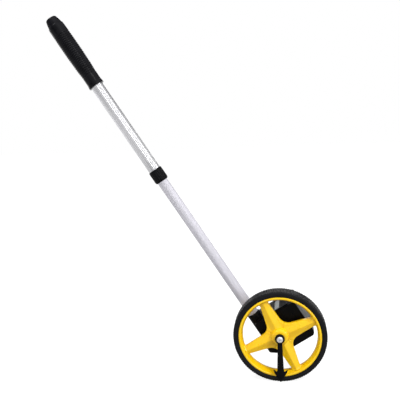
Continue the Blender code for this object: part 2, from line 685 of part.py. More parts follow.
def build_cover_screws(materials, case):
    """Four countersunk screws, flush with the rear cover."""
    face = -WHEEL_Y - 0.0001
    neck = face - 0.0019
    end = face - 0.0127
    shank = 0.0012
    head = 0.0028
    profile = [(0.0, end), (shank, end), (shank, neck), (head, face - 0.0001), (head, face), (0.0, face)]
    for number, (across, along) in enumerate(COVER_SCREWS, start=1):
        turned(f"cover_screw_{number}", profile, "Y", 12, materials["steel"], case, (across, 0.0, along))


def build_window(materials, case):
    lens_top = CASE_TOP - 0.0003
    lens = box_mesh((WINDOW_LEFT, WINDOW_FRONT, lens_top - LENS_THICKNESS),
                    (WINDOW_RIGHT, WINDOW_BACK, lens_top))
    finish_object("window_lens", lens, materials["clear"], case)
    foot = CASE_TOP + GAP
    top = foot + BEZEL_HEIGHT
    outer = rounded(rectangle(BEZEL_LEFT, BEZEL_RIGHT, BEZEL_FRONT, BEZEL_BACK), [0.0015] * 4, 3)
    hole = rounded(rectangle(WINDOW_LEFT + 0.0006, WINDOW_RIGHT - 0.0002, WINDOW_FRONT + 0.0008,
                             WINDOW_BACK - 0.0008), [0.0008] * 4, 3)
    bezel = extruded("window_bezel", [outer, hole], "Z", foot, top, materials["case"], case)
    end_land = 0.0015
    floor = top - 0.5 * BEZEL_HEIGHT
    for number, (left, right) in enumerate(BEZEL_GROOVES, start=1):
        groove = box_mesh((left, BEZEL_FRONT + end_land, floor),
                          (right, BEZEL_BACK - end_land, top + OVERCUT))
        combine(bezel, f"bezel_groove_tool_{number}", groove, "DIFFERENCE")


def build_socket_screw(materials, case):
    """Pan-headed screw through the socket's pad into the lower tube."""
    seat = socket_pad_face() + GAP
    start = TUBE_Y + SOCKET_PAD_START + 0.0005
    shank = SOCKET_SCREW_HOLE - GAP
    head = 0.0034
    crown = 0.0022
    profile = [(0.0, start), (shank, start), (shank, seat), (head, seat), (head, seat + 0.0012),
               (crown, seat + 0.0022), (0.0, seat + 0.0022)]
    turned("socket_screw", profile, "Y", SMALL_SEGMENTS, materials["steel"], case,
           (TUBE_X, 0.0, SOCKET_SCREW_Z))


# ---------------------------------------------------------------- counter


def drum_start(number):
    return DRUM_FIRST + (number - 1) * DRUM_PITCH


def build_counter_frame(materials, case, pinion_place, idler_place):
    """Two upright plates and the floor that joins them. The rear one reaches up to the reset shaft."""
    left = 0.0170
    right = 0.0400
    foot = -0.0120
    shoulder = 0.0185
    plate = [(left, foot), (right, foot), (right, 0.0040), (0.0465, 0.0120), (0.0465, 0.0300),
             (right, 0.0300), (0.0300, 0.0245), (left, shoulder)]
    outline = rounded(plate, [0.0010] * len(plate), 2)
    rear_holes = [circle(DRUM_SHAFT_RADIUS + GAP, 16, (DRUM_X, DRUM_Z)),
                  circle(PINION_SHAFT_RADIUS + GAP, 12, pinion_place),
                  circle(RESET_SHAFT_RADIUS + GAP, 16, (RESET_X, RESET_Z)),
                  circle(PINION_SHAFT_RADIUS + GAP, 12, idler_place)]
    frame = extruded("counter_frame", [outline] + rear_holes, "Y", FRAME_BACK, FRAME_BACK + FRAME_PLATE,
                     materials["dark"], case)
    front_corners = [(left, foot), (right, foot), (right, 0.0100), (0.0310, shoulder), (left, shoulder)]
    front_plate = rounded(front_corners, [0.0010] * len(front_corners), 2)
    front_holes = [circle(0.0038, 20, (DRUM_X, DRUM_Z)),
                   circle(PINION_SHAFT_RADIUS + GAP, 12, pinion_place)]
    combine(frame, "frame_front_tool",
            extruded_mesh([front_plate] + front_holes, "Y", FRAME_FRONT, FRAME_FRONT + FRAME_PLATE), "UNION")
    inset_by = 0.0015
    floor = box_mesh((left + inset_by, FRAME_FRONT + 0.0004, foot + 0.0002),
                     (right - inset_by, FRAME_BACK + FRAME_PLATE - 0.0004, foot + 0.0016))
    combine(frame, "frame_floor_tool", floor, "UNION")


def build_counter_gear(materials, counter, gear_direction):
    outline = gear_outline(COUNTER_TEETH, GEAR_MODULE, mating_phase(gear_direction, COUNTER_TEETH))
    bore = circle(0.0035, 20)
    extruded("counter_gear", [outline, bore], "Y", GEAR_FRONT, GEAR_FRONT + GEAR_THICKNESS,
             materials["white"], counter)


def drum_mesh_profile(number):
    """A cup with a hub. The first drum's hub runs forward to carry the counter gear."""
    start = drum_start(number)
    end = start + DRUM_WIDTH
    bore = DRUM_SHAFT_RADIUS + GAP
    hub = 0.0032
    hub_start = GEAR_FRONT - 0.0002 if number == 1 else start
    rim_start = start + (0.0 if number == 1 else RING_WIDTH + 0.0002)
    web = rim_start + 0.0012
    rim_inner = DRUM_RADIUS - 0.0012
    return [(bore, hub_start), (hub, hub_start), (hub, rim_start), (DRUM_RADIUS, rim_start),
            (DRUM_RADIUS, end), (rim_inner, end), (rim_inner, web), (hub, web), (hub, end), (bore, end)]


def build_drums(materials, drum_frames):
    """Five number drums. All but the first carry a ring of teeth for the transfer pinion."""
    for number, frame in enumerate(drum_frames, start=1):
        drum = turned(f"number_drum_{number}", drum_mesh_profile(number), "Y", 24, materials["white"], frame)
        if number > 1:
            start = drum_start(number)
            outline = pointed_gear_outline(RING_TEETH, RING_MODULE, PINION_DIRECTION)
            loops = [outline, circle(DRUM_SHAFT_RADIUS + GAP, 24)]
            ring = extruded_mesh(loops, "Y", start, start + RING_WIDTH + 0.0006)
            combine(drum, f"ring_tool_{number}", ring, "UNION")


def build_pinions(materials, pinion_frames):
    for number, frame in enumerate(pinion_frames, start=1):
        start = drum_start(number + 1)
        phase = mating_phase(PINION_DIRECTION, PINION_TEETH)
        outline = pointed_gear_outline(PINION_TEETH, RING_MODULE, phase)
        bore = circle(PINION_SHAFT_RADIUS + GAP, 12)
        extruded(f"transfer_pinion_{number}", [outline, bore], "Y", start + 0.0001,
                 start + RING_WIDTH - 0.0001, materials["white"], frame)


def build_counter_shafts(materials, case, drum_shaft_frame, pinion_place, idler_place):
    back = -WHEEL_Y - COVER_THICKNESS - 0.0008
    front = -WHEEL_Y - HOUSING_DEPTH + WALL + 0.0004
    shaft = rod(DRUM_SHAFT_RADIUS, front, back, 16)
    finish_object("drum_shaft", shaft, materials["steel"], drum_shaft_frame)
    pinion_shaft = rod(PINION_SHAFT_RADIUS, FRAME_FRONT - 0.0004, FRAME_BACK + FRAME_PLATE + 0.0004, 12)
    finish_object("pinion_shaft", pinion_shaft, materials["steel"], case,
                  (pinion_place[0], 0.0, pinion_place[1]))
    idler_pin = rod(PINION_SHAFT_RADIUS, FRAME_BACK - 0.0004, back, 12)
    finish_object("idler_pin", idler_pin, materials["steel"], case, (idler_place[0], 0.0, idler_place[1]))


# ---------------------------------------------------------------- zero reset


def place_idler():
    """The idler touches the reset pinion and the drum shaft's gear: two circles meet there."""
    from_reset = RESET_MODULE * (RESET_TEETH + IDLER_TEETH) / 2.0
    from_drum = RESET_MODULE * (SHAFT_GEAR_TEETH + IDLER_TEETH) / 2.0
    across = Vector((RESET_X - DRUM_X, RESET_Z - DRUM_Z))
    distance = across.length
    along = (from_drum ** 2 - from_reset ** 2 + distance ** 2) / (2.0 * distance)
    aside = math.sqrt(from_drum ** 2 - along ** 2)
    direction = across.normalized()
    place = direction * along + Vector((direction.y, -direction.x)) * aside
    return (DRUM_X + place.x, DRUM_Z + place.y)


def direction_between(start, end):
    return math.atan2(end[1] - start[1], end[0] - start[0])


def build_reset_gears(materials, knob_frame, idler_frame, drum_shaft_frame, idler_place):
    """Pinion on the knob's shaft, idler, and gear on the drum shaft."""
    front = RESET_GEAR_FRONT
    back = front + RESET_GEAR_THICKNESS
    to_idler = direction_between((DRUM_X, DRUM_Z), idler_place)
    to_reset = direction_between(idler_place, (RESET_X, RESET_Z))
    shaft_gear = pointed_gear_outline(SHAFT_GEAR_TEETH, RESET_MODULE, to_idler)
    extruded("shaft_gear", [shaft_gear, circle(DRUM_SHAFT_RADIUS + GAP, 16)], "Y", front, back,
             materials["brass"], drum_shaft_frame)
    idler_phase = mating_phase(to_idler, IDLER_TEETH)
    idler = pointed_gear_outline(IDLER_TEETH, RESET_MODULE, idler_phase)
    extruded("reset_idler", [idler, circle(PINION_SHAFT_RADIUS + GAP, 12)], "Y", front, back,
             materials["brass"], idler_frame)
    # The pinion's gap has to meet whatever the idler shows in that direction.
    idler_pitch = 2.0 * math.pi / IDLER_TEETH
    offset = math.remainder(to_reset - idler_phase, idler_pitch)
    phase = mating_phase(to_reset, RESET_TEETH) + offset * IDLER_TEETH / RESET_TEETH
    pinion = pointed_gear_outline(RESET_TEETH, RESET_MODULE, phase)
    extruded("reset_pinion", [pinion, circle(RESET_NECK_RADIUS + GAP, 12)], "Y", front, back,
             materials["brass"], knob_frame)


def build_reset_knob(materials, knob_frame):
    """Finger knob outside the cover, and its shaft, which steps down to carry the pinion."""
    knob_front = -WHEEL_Y + 0.0006
    knob_back = knob_front + KNOB_HEIGHT
    start = FRAME_BACK - 0.0004
    step = RESET_GEAR_FRONT + RESET_GEAR_THICKNESS + GAP
    end = knob_front + KNOB_SHAFT_DEPTH
    shaft = [(0.0, start), (RESET_NECK_RADIUS, start), (RESET_NECK_RADIUS, step),
             (RESET_SHAFT_RADIUS, step), (RESET_SHAFT_RADIUS, end), (0.0, end)]
    turned("reset_shaft", shaft, "Y", SMALL_SEGMENTS, materials["steel"], knob_frame)
    rim = ribbed_circle(KNOB_RADIUS, KNOB_GROOVE_DEPTH, KNOB_GROOVES, (-0.30, -0.12, 0.20, 0.38))
    knob = extruded("reset_knob", [rim], "Y", knob_front, knob_back, materials["case"], knob_frame)
    bore = rod(RESET_SHAFT_RADIUS + GAP, knob_front - OVERCUT, end + 0.0004, SMALL_SEGMENTS)
    combine(knob, "knob_bore_tool", bore, "DIFFERENCE")


def ribbed_circle(radius, depth, ribs, fractions):
    """Round outline with shallow grooves: two crest corners and two groove corners for each rib."""
    pitch = 2.0 * math.pi / ribs
    outline = []
    for rib in range(ribs):
        for fraction, height in zip(fractions, (radius, radius, radius - depth, radius - depth)):
            angle = (rib + fraction) * pitch
            outline.append((height * math.cos(angle), height * math.sin(angle)))
    return outline


# ---------------------------------------------------------------- telescopic handle


def fluted_circle(radius):
    """A tube's outside, with fine flutes along it."""
    outline = []
    for step in range(2 * TUBE_FLUTES):
        depth = FLUTE_DEPTH if step % 2 else 0.0
        angle = math.pi * step / TUBE_FLUTES
        outline.append(((radius - depth) * math.cos(angle), (radius - depth) * math.sin(angle)))
    return outline


def build_tube(name, radius, bottom, top, materials, frame):
    loops = [fluted_circle(radius), circle(radius - TUBE_WALL, TUBE_FLUTES)]
    return extruded(name, loops, "Z", bottom, top, materials["aluminium"], frame)


def build_lower_tube(materials, tube):
    lower = build_tube("lower_tube", LOWER_TUBE_RADIUS, LOWER_TUBE_BOTTOM, LOWER_TUBE_TOP, materials, tube)
    screw_hole = rod(SOCKET_SCREW_HOLE, SOCKET_PAD_START, LOWER_TUBE_RADIUS + OVERCUT, SMALL_SEGMENTS)
    combine(lower, "tube_screw_tool", screw_hole, "DIFFERENCE", location=(0.0, 0.0, SOCKET_SCREW_Z))


def build_tube_end_bush(materials, tube):
    """Plug in the lower tube's top end, with a flange that slides inside the upper tube."""
    bore = 0.0040
    plug = LOWER_TUBE_RADIUS - TUBE_WALL - GAP
    flange = UPPER_TUBE_RADIUS - TUBE_WALL - 0.00025
    start = LOWER_TUBE_TOP - 0.0120
    step = LOWER_TUBE_TOP + GAP
    end = LOWER_TUBE_TOP + 0.0080
    profile = [(bore, start), (plug, start), (plug, step), (flange, step), (flange, end), (bore, end)]
    turned("tube_end_bush", profile, "Z", 20, materials["white"], tube)


def build_lock(materials, sliding, collar):
    """Split ring at the upper tube's end, and the collar that twists over it."""
    ring_inner = LOWER_TUBE_RADIUS + GAP
    ring_outer = UPPER_TUBE_RADIUS - 0.0001
    foot = COLLAR_BOTTOM + 0.0020
    taper = 0.0030
    top = UPPER_TUBE_BOTTOM - GAP
    sleeve = [(ring_inner, foot), (ring_outer - 0.0006, foot), (ring_outer, foot + taper), (ring_outer, top),
              (ring_inner, top)]
    turned("lock_sleeve", sleeve, "Z", 28, materials["dark"], sliding)
    inner = UPPER_TUBE_RADIUS + GAP
    rim = ribbed_circle(COLLAR_RADIUS, COLLAR_RIB_DEPTH, COLLAR_RIBS, (-0.30, 0.10, 0.25, 0.55))
    ring = extruded("lock_collar", [rim, circle(inner, 28)], "Z", COLLAR_BOTTOM + COLLAR_FOOT, COLLAR_TOP,
                    materials["case"], collar)
    hole = ring_inner + 0.0003
    web = inner - 0.0002
    foot_ring = [(hole, COLLAR_BOTTOM), (COLLAR_RADIUS - 0.0014, COLLAR_BOTTOM),
                 (COLLAR_RADIUS - 0.0003, COLLAR_BOTTOM + COLLAR_FOOT), (web, COLLAR_BOTTOM + 0.0021),
                 (web, COLLAR_BOTTOM + 0.0016), (hole, COLLAR_BOTTOM + 0.0016)]
    combine(ring, "collar_foot_tool", turned_mesh(foot_ring, "Z", 28), "UNION")


def build_grip(materials, sliding):
    """Sleeve closed at the top, swelling in the middle and flared at the bottom."""
    bore = UPPER_TUBE_RADIUS + GAP
    bore_end = UPPER_TUBE_TOP + 0.0020
    inside = [(0.0, GRIP_TOP), (0.0, bore_end), (bore, bore_end)]
    profile = [(bore, GRIP_BOTTOM)] + list(GRIP_OUTSIDE) + inside
    turned("grip", profile, "Z", 32, materials["grip"], sliding)


def build_upper_tube(materials, sliding):
    """The sliding tube and the plug that closes its top."""
    build_tube("upper_tube", UPPER_TUBE_RADIUS, UPPER_TUBE_BOTTOM, UPPER_TUBE_TOP, materials, sliding)
    inside = UPPER_TUBE_RADIUS - TUBE_WALL - GAP
    start = UPPER_TUBE_TOP - 0.0080
    step = UPPER_TUBE_TOP + GAP
    end = UPPER_TUBE_TOP + 0.0014
    plug = [(0.0, start), (inside, start), (inside, step), (UPPER_TUBE_RADIUS, step),
            (UPPER_TUBE_RADIUS, end), (0.0, end)]
    turned("tube_cap", plug, "Z", SMALL_SEGMENTS, materials["dark"], sliding)


# ---------------------------------------------------------------- assembly


def add_frame(name, parent, location=(0.0, 0.0, 0.0), tilt=0.0):
    """An empty on a joint's axis. tilt leans its Z towards -X."""
    frame = bpy.data.objects.new(name, None)
    bpy.context.scene.collection.objects.link(frame)
    frame.parent = parent
    frame.location = location
    frame.rotation_euler = (0.0, -tilt, 0.0)
    return frame


def build_all():
    clear_scene()
    materials = make_materials()
    wheel_plane = add_frame("wheel_plane", None, (0.0, WHEEL_Y, 0.0))
    wheel = add_frame("wheel_axis", wheel_plane)
    pointer = add_frame("pointer_axis", wheel_plane)
    case = add_frame("case_frame", wheel_plane, tilt=HANDLE_TILT)
    tube = add_frame("tube_axis", case, (TUBE_X, TUBE_Y, 0.0))
    sliding = add_frame("sliding_handle", tube)
    collar = add_frame("collar_axis", sliding)

    drum_place = (DRUM_X, 0.0, DRUM_Z)
    reach = RING_MODULE * (RING_TEETH + PINION_TEETH) / 2.0
    pinion_place = (DRUM_X + reach * math.cos(PINION_DIRECTION), DRUM_Z + reach * math.sin(PINION_DIRECTION))
    idler_place = place_idler()
    drum_frames = [add_frame(f"drum_axis_{i}", case, drum_place) for i in range(1, DRUM_COUNT + 1)]
    pinion_frames = [add_frame(f"pinion_axis_{i}", case, (pinion_place[0], 0.0, pinion_place[1]))
                     for i in range(1, DRUM_COUNT)]
    drum_shaft_frame = add_frame("drum_shaft_axis", case, drum_place)
    knob_frame = add_frame("reset_axis", case, (RESET_X, 0.0, RESET_Z))
    idler_frame = add_frame("idler_axis", case, (idler_place[0], 0.0, idler_place[1]))

    to_drum = math.atan2(DRUM_Z, DRUM_X)
    build_wheel(materials, wheel, to_drum + HANDLE_TILT)
    build_pointer(materials, pointer)
    build_axle(materials, wheel_plane)
    build_pointer_screw(materials, wheel_plane)
    build_front_case(materials, case)
    build_rear_cover(materials, case)
    build_cover_screws(materials, case)
    build_window(materials, case)
    build_socket_screw(materials, case)
    build_counter_frame(materials, case, pinion_place, idler_place)
    build_counter_gear(materials, drum_frames[0], to_drum)
    build_drums(materials, drum_frames)
    build_pinions(materials, pinion_frames)
    build_counter_shafts(materials, case, drum_shaft_frame, pinion_place, idler_place)
    build_reset_gears(materials, knob_frame, idler_frame, drum_shaft_frame, idler_place)
    build_reset_knob(materials, knob_frame)
    build_lower_tube(materials, tube)
    build_tube_end_bush(materials, tube)
    build_upper_tube(materials, sliding)
    build_lock(materials, sliding, collar)
    build_grip(materials, sliding)
    bpy.context.view_layer.update()


build_all()
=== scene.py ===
"""Looks of the distance measuring wheel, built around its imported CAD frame.

Metres, +Z up, the axle along Y, the handle leaning back over -X. Two local frames are used:
the wheel frame has X right, Y up and Z towards the viewer, and the handle frame has X across the
handle, Y along the axle and Z up the handle. Both start on the axle in the wheel's middle plane.
"""

import json
import math

import bmesh
import bpy
from mathutils import Matrix, Vector


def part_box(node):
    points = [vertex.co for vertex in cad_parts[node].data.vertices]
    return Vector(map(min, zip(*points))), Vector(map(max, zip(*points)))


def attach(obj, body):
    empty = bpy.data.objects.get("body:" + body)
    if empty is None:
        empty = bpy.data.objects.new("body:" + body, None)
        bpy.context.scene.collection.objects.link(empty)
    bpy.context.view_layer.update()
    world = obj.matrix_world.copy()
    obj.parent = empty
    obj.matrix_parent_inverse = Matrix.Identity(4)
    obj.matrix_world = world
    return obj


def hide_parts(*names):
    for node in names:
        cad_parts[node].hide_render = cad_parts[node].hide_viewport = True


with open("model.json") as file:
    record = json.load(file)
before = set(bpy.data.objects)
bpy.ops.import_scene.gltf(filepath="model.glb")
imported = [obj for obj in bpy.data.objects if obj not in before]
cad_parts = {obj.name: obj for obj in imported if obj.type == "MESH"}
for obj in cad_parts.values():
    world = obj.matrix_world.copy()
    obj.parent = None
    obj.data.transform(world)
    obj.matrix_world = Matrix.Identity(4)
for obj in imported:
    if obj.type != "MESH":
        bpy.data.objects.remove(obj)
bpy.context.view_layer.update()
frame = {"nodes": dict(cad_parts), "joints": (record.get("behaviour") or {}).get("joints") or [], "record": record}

MM = 0.001
SHARP_ANGLE = 34.0  # edges that turn further than this, in degrees, stay crisp

# -------- places read from the frame

JOINTS = {joint["name"]: joint for joint in frame["joints"]}
HUB = Vector(JOINTS["wheel_spin"]["pos_m"])
UP_HANDLE = Vector(JOINTS["handle_slide"]["axis"]).normalized()
ALONG_AXLE = Vector((0.0, 1.0, 0.0))
ACROSS_HANDLE = ALONG_AXLE.cross(UP_HANDLE)


def axes_matrix(x_axis, y_axis, z_axis, origin):
    matrix = Matrix((x_axis, y_axis, z_axis)).transposed().to_4x4()
    matrix.translation = origin
    return matrix


WHEEL_FRAME = axes_matrix(Vector((1, 0, 0)), Vector((0, 0, 1)), Vector((0, -1, 0)), HUB)
HANDLE_FRAME = axes_matrix(ACROSS_HANDLE, ALONG_AXLE, UP_HANDLE, HUB)


def node_points(node, matrix):
    """A CAD node's vertices, seen from a local frame."""
    inverse = matrix.inverted()
    return [inverse @ vertex.co for vertex in frame["nodes"][node].data.vertices]


def span(node, axis, matrix=HANDLE_FRAME):
    """How far a node reaches along one axis of a local frame."""
    values = [point[axis] for point in node_points(node, matrix)]
    return min(values), max(values)


def radii(node, matrix):
    """Smallest and largest distance of a node's vertices from a local Z axis."""
    values = [math.hypot(p.x, p.y) for p in node_points(node, matrix)]
    return min(values), max(values)


def ring_span(node, matrix, smallest, largest):
    """How far a node's vertices between two radii reach along a local Z axis."""
    values = [p.z for p in node_points(node, matrix) if smallest < math.hypot(p.x, p.y) < largest]
    return min(values), max(values)


def joint_place(name):
    """A joint's place in the handle frame."""
    return HANDLE_FRAME.inverted() @ Vector(JOINTS[name]["pos_m"])


TUBE_PLACE = joint_place("collar_twist")
DRUM_PLACE = joint_place("drum_1_turn")
RESET_PLACE = joint_place("reset_turn")
TUBE_FRAME = HANDLE_FRAME @ Matrix.Translation((TUBE_PLACE.x, TUBE_PLACE.y, 0.0))
DRUM_FRAME = HANDLE_FRAME @ Matrix.Translation((DRUM_PLACE.x, 0.0, DRUM_PLACE.z))
# The knob's own frame has Z along the axle, so that radii() can measure around it.
RESET_FRAME = axes_matrix(ACROSS_HANDLE, -UP_HANDLE, ALONG_AXLE,
                          HANDLE_FRAME @ Vector((RESET_PLACE.x, 0.0, RESET_PLACE.z)))

# -------- material tools

EDGE_SHARPNESS = 12.0


class Nodes:
    """The node tree of a material or world, with short calls for the nodes used here."""

    def __init__(self, owner, shader="Principled BSDF", coordinate="Object"):
        owner.use_nodes = True
        self.owner = owner
        self.tree = owner.node_tree
        self.shader = self.tree.nodes[shader]
        self.place = self.new("TexCoord").outputs[coordinate]

    def new(self, kind, **values):
        """Adds a node and fills its inputs, by name."""
        node = self.tree.nodes.new("ShaderNode" + kind)
        self.fill(node, values)
        return node

    def fill(self, node, values):
        for name, value in values.items():
            self.put(value, node.inputs[name.replace("_", " ")])

    def link(self, source, target):
        self.tree.links.new(source, target)

    def put(self, value, socket):
        """Gives a socket a number, a colour, a vector or another node's output."""
        if isinstance(value, (int, float)):
            socket.default_value = value
        elif isinstance(value, tuple):
            socket.default_value = (*value, 1.0)[:len(socket.default_value)]
        else:
            self.link(value, socket)

    def set(self, **values):
        """Fills the main shader's inputs."""
        self.fill(self.shader, values)

    def noise(self, scale, detail, roughness=0.5, stretch=(1.0, 1.0, 1.0)):
        place = self.new("Mapping", Scale=stretch, Vector=self.place).outputs["Vector"]
        noise = self.new("TexNoise", Scale=scale, Detail=detail, Roughness=roughness, Vector=place)
        return noise.outputs["Fac"]

    def cells(self, scale):
        return self.new("TexVoronoi", Scale=scale, Vector=self.place).outputs["Distance"]

    def remap(self, source, low, high, from_low=0.0, from_high=1.0):
        node = self.new("MapRange", Value=source, To_Min=low, To_Max=high)
        self.fill(node, {"From Min": from_low, "From Max": from_high})
        return node.outputs["Result"]

    def patches(self, scale, detail, low, high, from_low=0.3, from_high=0.7):
        """Noise spread out to run from low to high."""
        return self.remap(self.noise(scale, detail), low, high, from_low, from_high)

    def mix(self, factor, first, second):
        node = self.new("Mix", Factor=factor)
        node.data_type = "RGBA"
        self.put(first, node.inputs[6])
        self.put(second, node.inputs[7])
        return node.outputs[2]

    def calculate(self, operation, first, second):
        node = self.new("Math")
        node.operation = operation
        self.put(first, node.inputs[0])
        self.put(second, node.inputs[1])
        return node.outputs["Value"]

    def dot(self, first, second):
        node = self.new("VectorMath")
        node.operation = "DOT_PRODUCT"
        self.put(first, node.inputs[0])
        self.put(second, node.inputs[1])
        return node.outputs["Value"]

    def edges(self, radius):
        """Near 1 on edges and corners, 0 on open faces."""
        bevel = self.new("Bevel", Radius=radius)
        bevel.samples = 4
        turned = self.dot(bevel.outputs["Normal"], self.new("NewGeometry").outputs["Normal"])
        return self.remap(turned, 1.0, 0.0, 1.0 - 1.0 / EDGE_SHARPNESS, 1.0)

    def bump(self, source, strength, distance):
        """Adds relief on top of any bump made before."""
        node = self.new("Bump", Strength=strength, Distance=distance, Height=source)
        normal = self.shader.inputs["Normal"]
        if normal.is_linked:
            self.link(normal.links[0].from_socket, node.inputs["Normal"])
        self.link(node.outputs["Normal"], normal)

    def for_camera(self, seen, elsewhere):
        """One value for rays from the camera, and another for the rest."""
        from_camera = self.new("LightPath").outputs["Is Camera Ray"]
        return self.new("Mix", Factor=from_camera, A=elsewhere, B=seen).outputs["Result"]


def material_nodes(name):
    return Nodes(bpy.data.materials.new(name))


def yellow_plastic():
    """Glossy injection-moulded plastic: faint flow marks, tiny orange peel, scuffed edges."""
    nodes = material_nodes("yellow_plastic")
    flow = nodes.patches(28.0, 4.0, 0.0, 1.0, 0.35, 0.70)
    colour = nodes.mix(flow, (0.87, 0.53, 0.002), (0.93, 0.60, 0.007))
    scuff = nodes.calculate("MULTIPLY", nodes.edges(0.0006), nodes.patches(260.0, 2.0, 0.0, 0.55, 0.45, 0.75))
    colour = nodes.mix(scuff, colour, (1.0, 0.66, 0.10))
    nodes.set(Base_Color=colour, Roughness=nodes.patches(90.0, 3.0, 0.24, 0.38))
    nodes.set(Coat_Weight=0.25, Coat_Roughness=0.12)
    nodes.set(Subsurface_Weight=0.10, Subsurface_Scale=0.004, Subsurface_Radius=(1.0, 0.45, 0.08))
    nodes.bump(nodes.noise(700.0, 2.0), 0.10, 0.00008)
    nodes.bump(nodes.noise(60.0, 2.0), 0.12, 0.0003)
    return nodes.owner


def black_plastic(name, colour, rough_low, rough_high, grain, grain_strength):
    """Moulded black plastic with a spark-eroded grain and slightly polished edges."""
    nodes = material_nodes(name)
    lighter = tuple(channel * 1.5 + 0.001 for channel in colour)
    shade = nodes.mix(nodes.patches(40.0, 4.0, 0.0, 1.0), colour, lighter)
    wear = nodes.calculate("MULTIPLY", nodes.edges(0.0005), nodes.patches(300.0, 2.0, 0.0, 0.6, 0.4, 0.7))
    shade = nodes.mix(wear, shade, (0.045, 0.045, 0.048))
    nodes.set(Base_Color=shade, Roughness=nodes.patches(120.0, 3.0, rough_low, rough_high))
    nodes.set(Specular_IOR_Level=0.11)
    nodes.bump(nodes.cells(grain), grain_strength, 0.0001)
    nodes.bump(nodes.noise(45.0, 2.0), 0.08, 0.0004)
    return nodes.owner


def tyre_rubber():
    """Vulcanised rubber: matt, faintly dusty, with a fine skin."""
    nodes = material_nodes("tyre_rubber")
    dust = nodes.remap(nodes.noise(55.0, 5.0, 0.6), 0.0, 1.0, 0.42, 0.75)
    colour = nodes.mix(dust, (0.002, 0.002, 0.003), (0.005, 0.005, 0.006))
    grit = nodes.calculate("MULTIPLY", nodes.patches(900.0, 2.0, 0.0, 1.0, 0.60, 0.80), 0.08)
    colour = nodes.mix(grit, colour, (0.05, 0.05, 0.048))
    nodes.set(Base_Color=colour, Roughness=nodes.patches(150.0, 3.0, 0.38, 0.52), Specular_IOR_Level=0.28)
    nodes.bump(nodes.noise(1600.0, 2.0), 0.25, 0.00008)
    nodes.bump(nodes.noise(90.0, 3.0), 0.10, 0.0004)
    return nodes.owner


def grip_rubber():
    """Soft grip moulding, with a low sheen."""
    nodes = material_nodes("grip_rubber")
    tint = nodes.patches(70.0, 4.0, 0.0, 1.0, 0.35, 0.7)
    colour = nodes.mix(tint, (0.002, 0.002, 0.003), (0.005, 0.005, 0.007))
    nodes.set(Base_Color=colour, Roughness=nodes.patches(140.0, 3.0, 0.12, 0.20), Specular_IOR_Level=0.15)
    nodes.bump(nodes.cells(1500.0), 0.12, 0.00006)
    nodes.bump(nodes.noise(80.0, 2.0), 0.10, 0.0003)
    return nodes.owner


def drawn_aluminium(name, dark, light, haze_colour, rough_low, rough_high, metallic):
    """Extruded aluminium tube: draw lines along its length and a light anodised haze."""
    nodes = material_nodes(name)
    lines = nodes.noise(420.0, 3.0, 0.6, (1.0, 1.0, 0.02))
    colour = nodes.mix(nodes.remap(lines, 0.0, 1.0, 0.35, 0.65), dark, light)
    colour = nodes.mix(nodes.patches(35.0, 4.0, 0.0, 0.35, 0.4, 0.7), colour, haze_colour)
    rough = nodes.remap(lines, rough_low, rough_high, 0.3, 0.7)
    nodes.set(Base_Color=colour, Roughness=rough, Metallic=metallic)
    nodes.bump(lines, 0.15, 0.0001)
    nodes.bump(nodes.noise(500.0, 2.0), 0.05, 0.00005)
    return nodes.owner


def turned_metal(name, dark, light, rough_low, rough_high, metallic=1.0):
    """Machined or plated metal, with fine turning marks."""
    nodes = material_nodes(name)
    marks = nodes.noise(900.0, 2.0, 0.5, (1.0, 0.15, 1.0))
    colour = nodes.mix(nodes.patches(160.0, 3.0, 0.0, 1.0, 0.35, 0.7), dark, light)
    rough = nodes.remap(marks, rough_low, rough_high, 0.3, 0.7)
    nodes.set(Base_Color=colour, Roughness=rough, Metallic=metallic)
    nodes.bump(marks, 0.08, 0.00005)
    return nodes.owner


def white_plastic():
    """Plain acetal for the drums and gears."""
    nodes = material_nodes("white_plastic")
    colour = nodes.mix(nodes.patches(110.0, 3.0, 0.0, 1.0), (0.70, 0.70, 0.67), (0.82, 0.82, 0.79))
    nodes.set(Base_Color=colour, Roughness=nodes.patches(200.0, 2.0, 0.34, 0.50))
    nodes.bump(nodes.noise(900.0, 2.0), 0.06, 0.00005)
    return nodes.owner


def digit_paint():
    """Thin black paint, a little uneven."""
    nodes = material_nodes("digit_paint")
    tint = nodes.patches(1200.0, 2.0, 0.0, 1.0, 0.4, 0.8)
    nodes.set(Base_Color=nodes.mix(tint, (0.010, 0.010, 0.012), (0.035, 0.035, 0.038)))
    nodes.set(Roughness=nodes.patches(400.0, 2.0, 0.45, 0.60))
    nodes.bump(nodes.noise(1500.0, 2.0), 0.05, 0.00004)
    return nodes.owner


def clear_window():
    """Clear plastic as a pane: light passes straight through, and the surface mirrors the room."""
    nodes = material_nodes("clear_window")
    through = nodes.new("BsdfTransparent", Color=(0.90, 0.92, 0.93))
    nodes.set(Base_Color=(0.62, 0.63, 0.62), Roughness=nodes.patches(300.0, 2.0, 0.05, 0.14, 0.0, 1.0))
    nodes.bump(nodes.noise(120.0, 2.0), 0.04, 0.0002)
    slant = nodes.new("LayerWeight", Blend=0.35).outputs["Fresnel"]
    haze = nodes.patches(180.0, 3.0, 0.14, 0.24)
    blend = nodes.new("MixShader", Fac=nodes.calculate("MAXIMUM", slant, haze))
    nodes.link(through.outputs[0], blend.inputs[1])
    nodes.link(nodes.shader.outputs[0], blend.inputs[2])
    nodes.link(blend.outputs[0], nodes.tree.nodes["Material Output"].inputs["Surface"])
    return nodes.owner


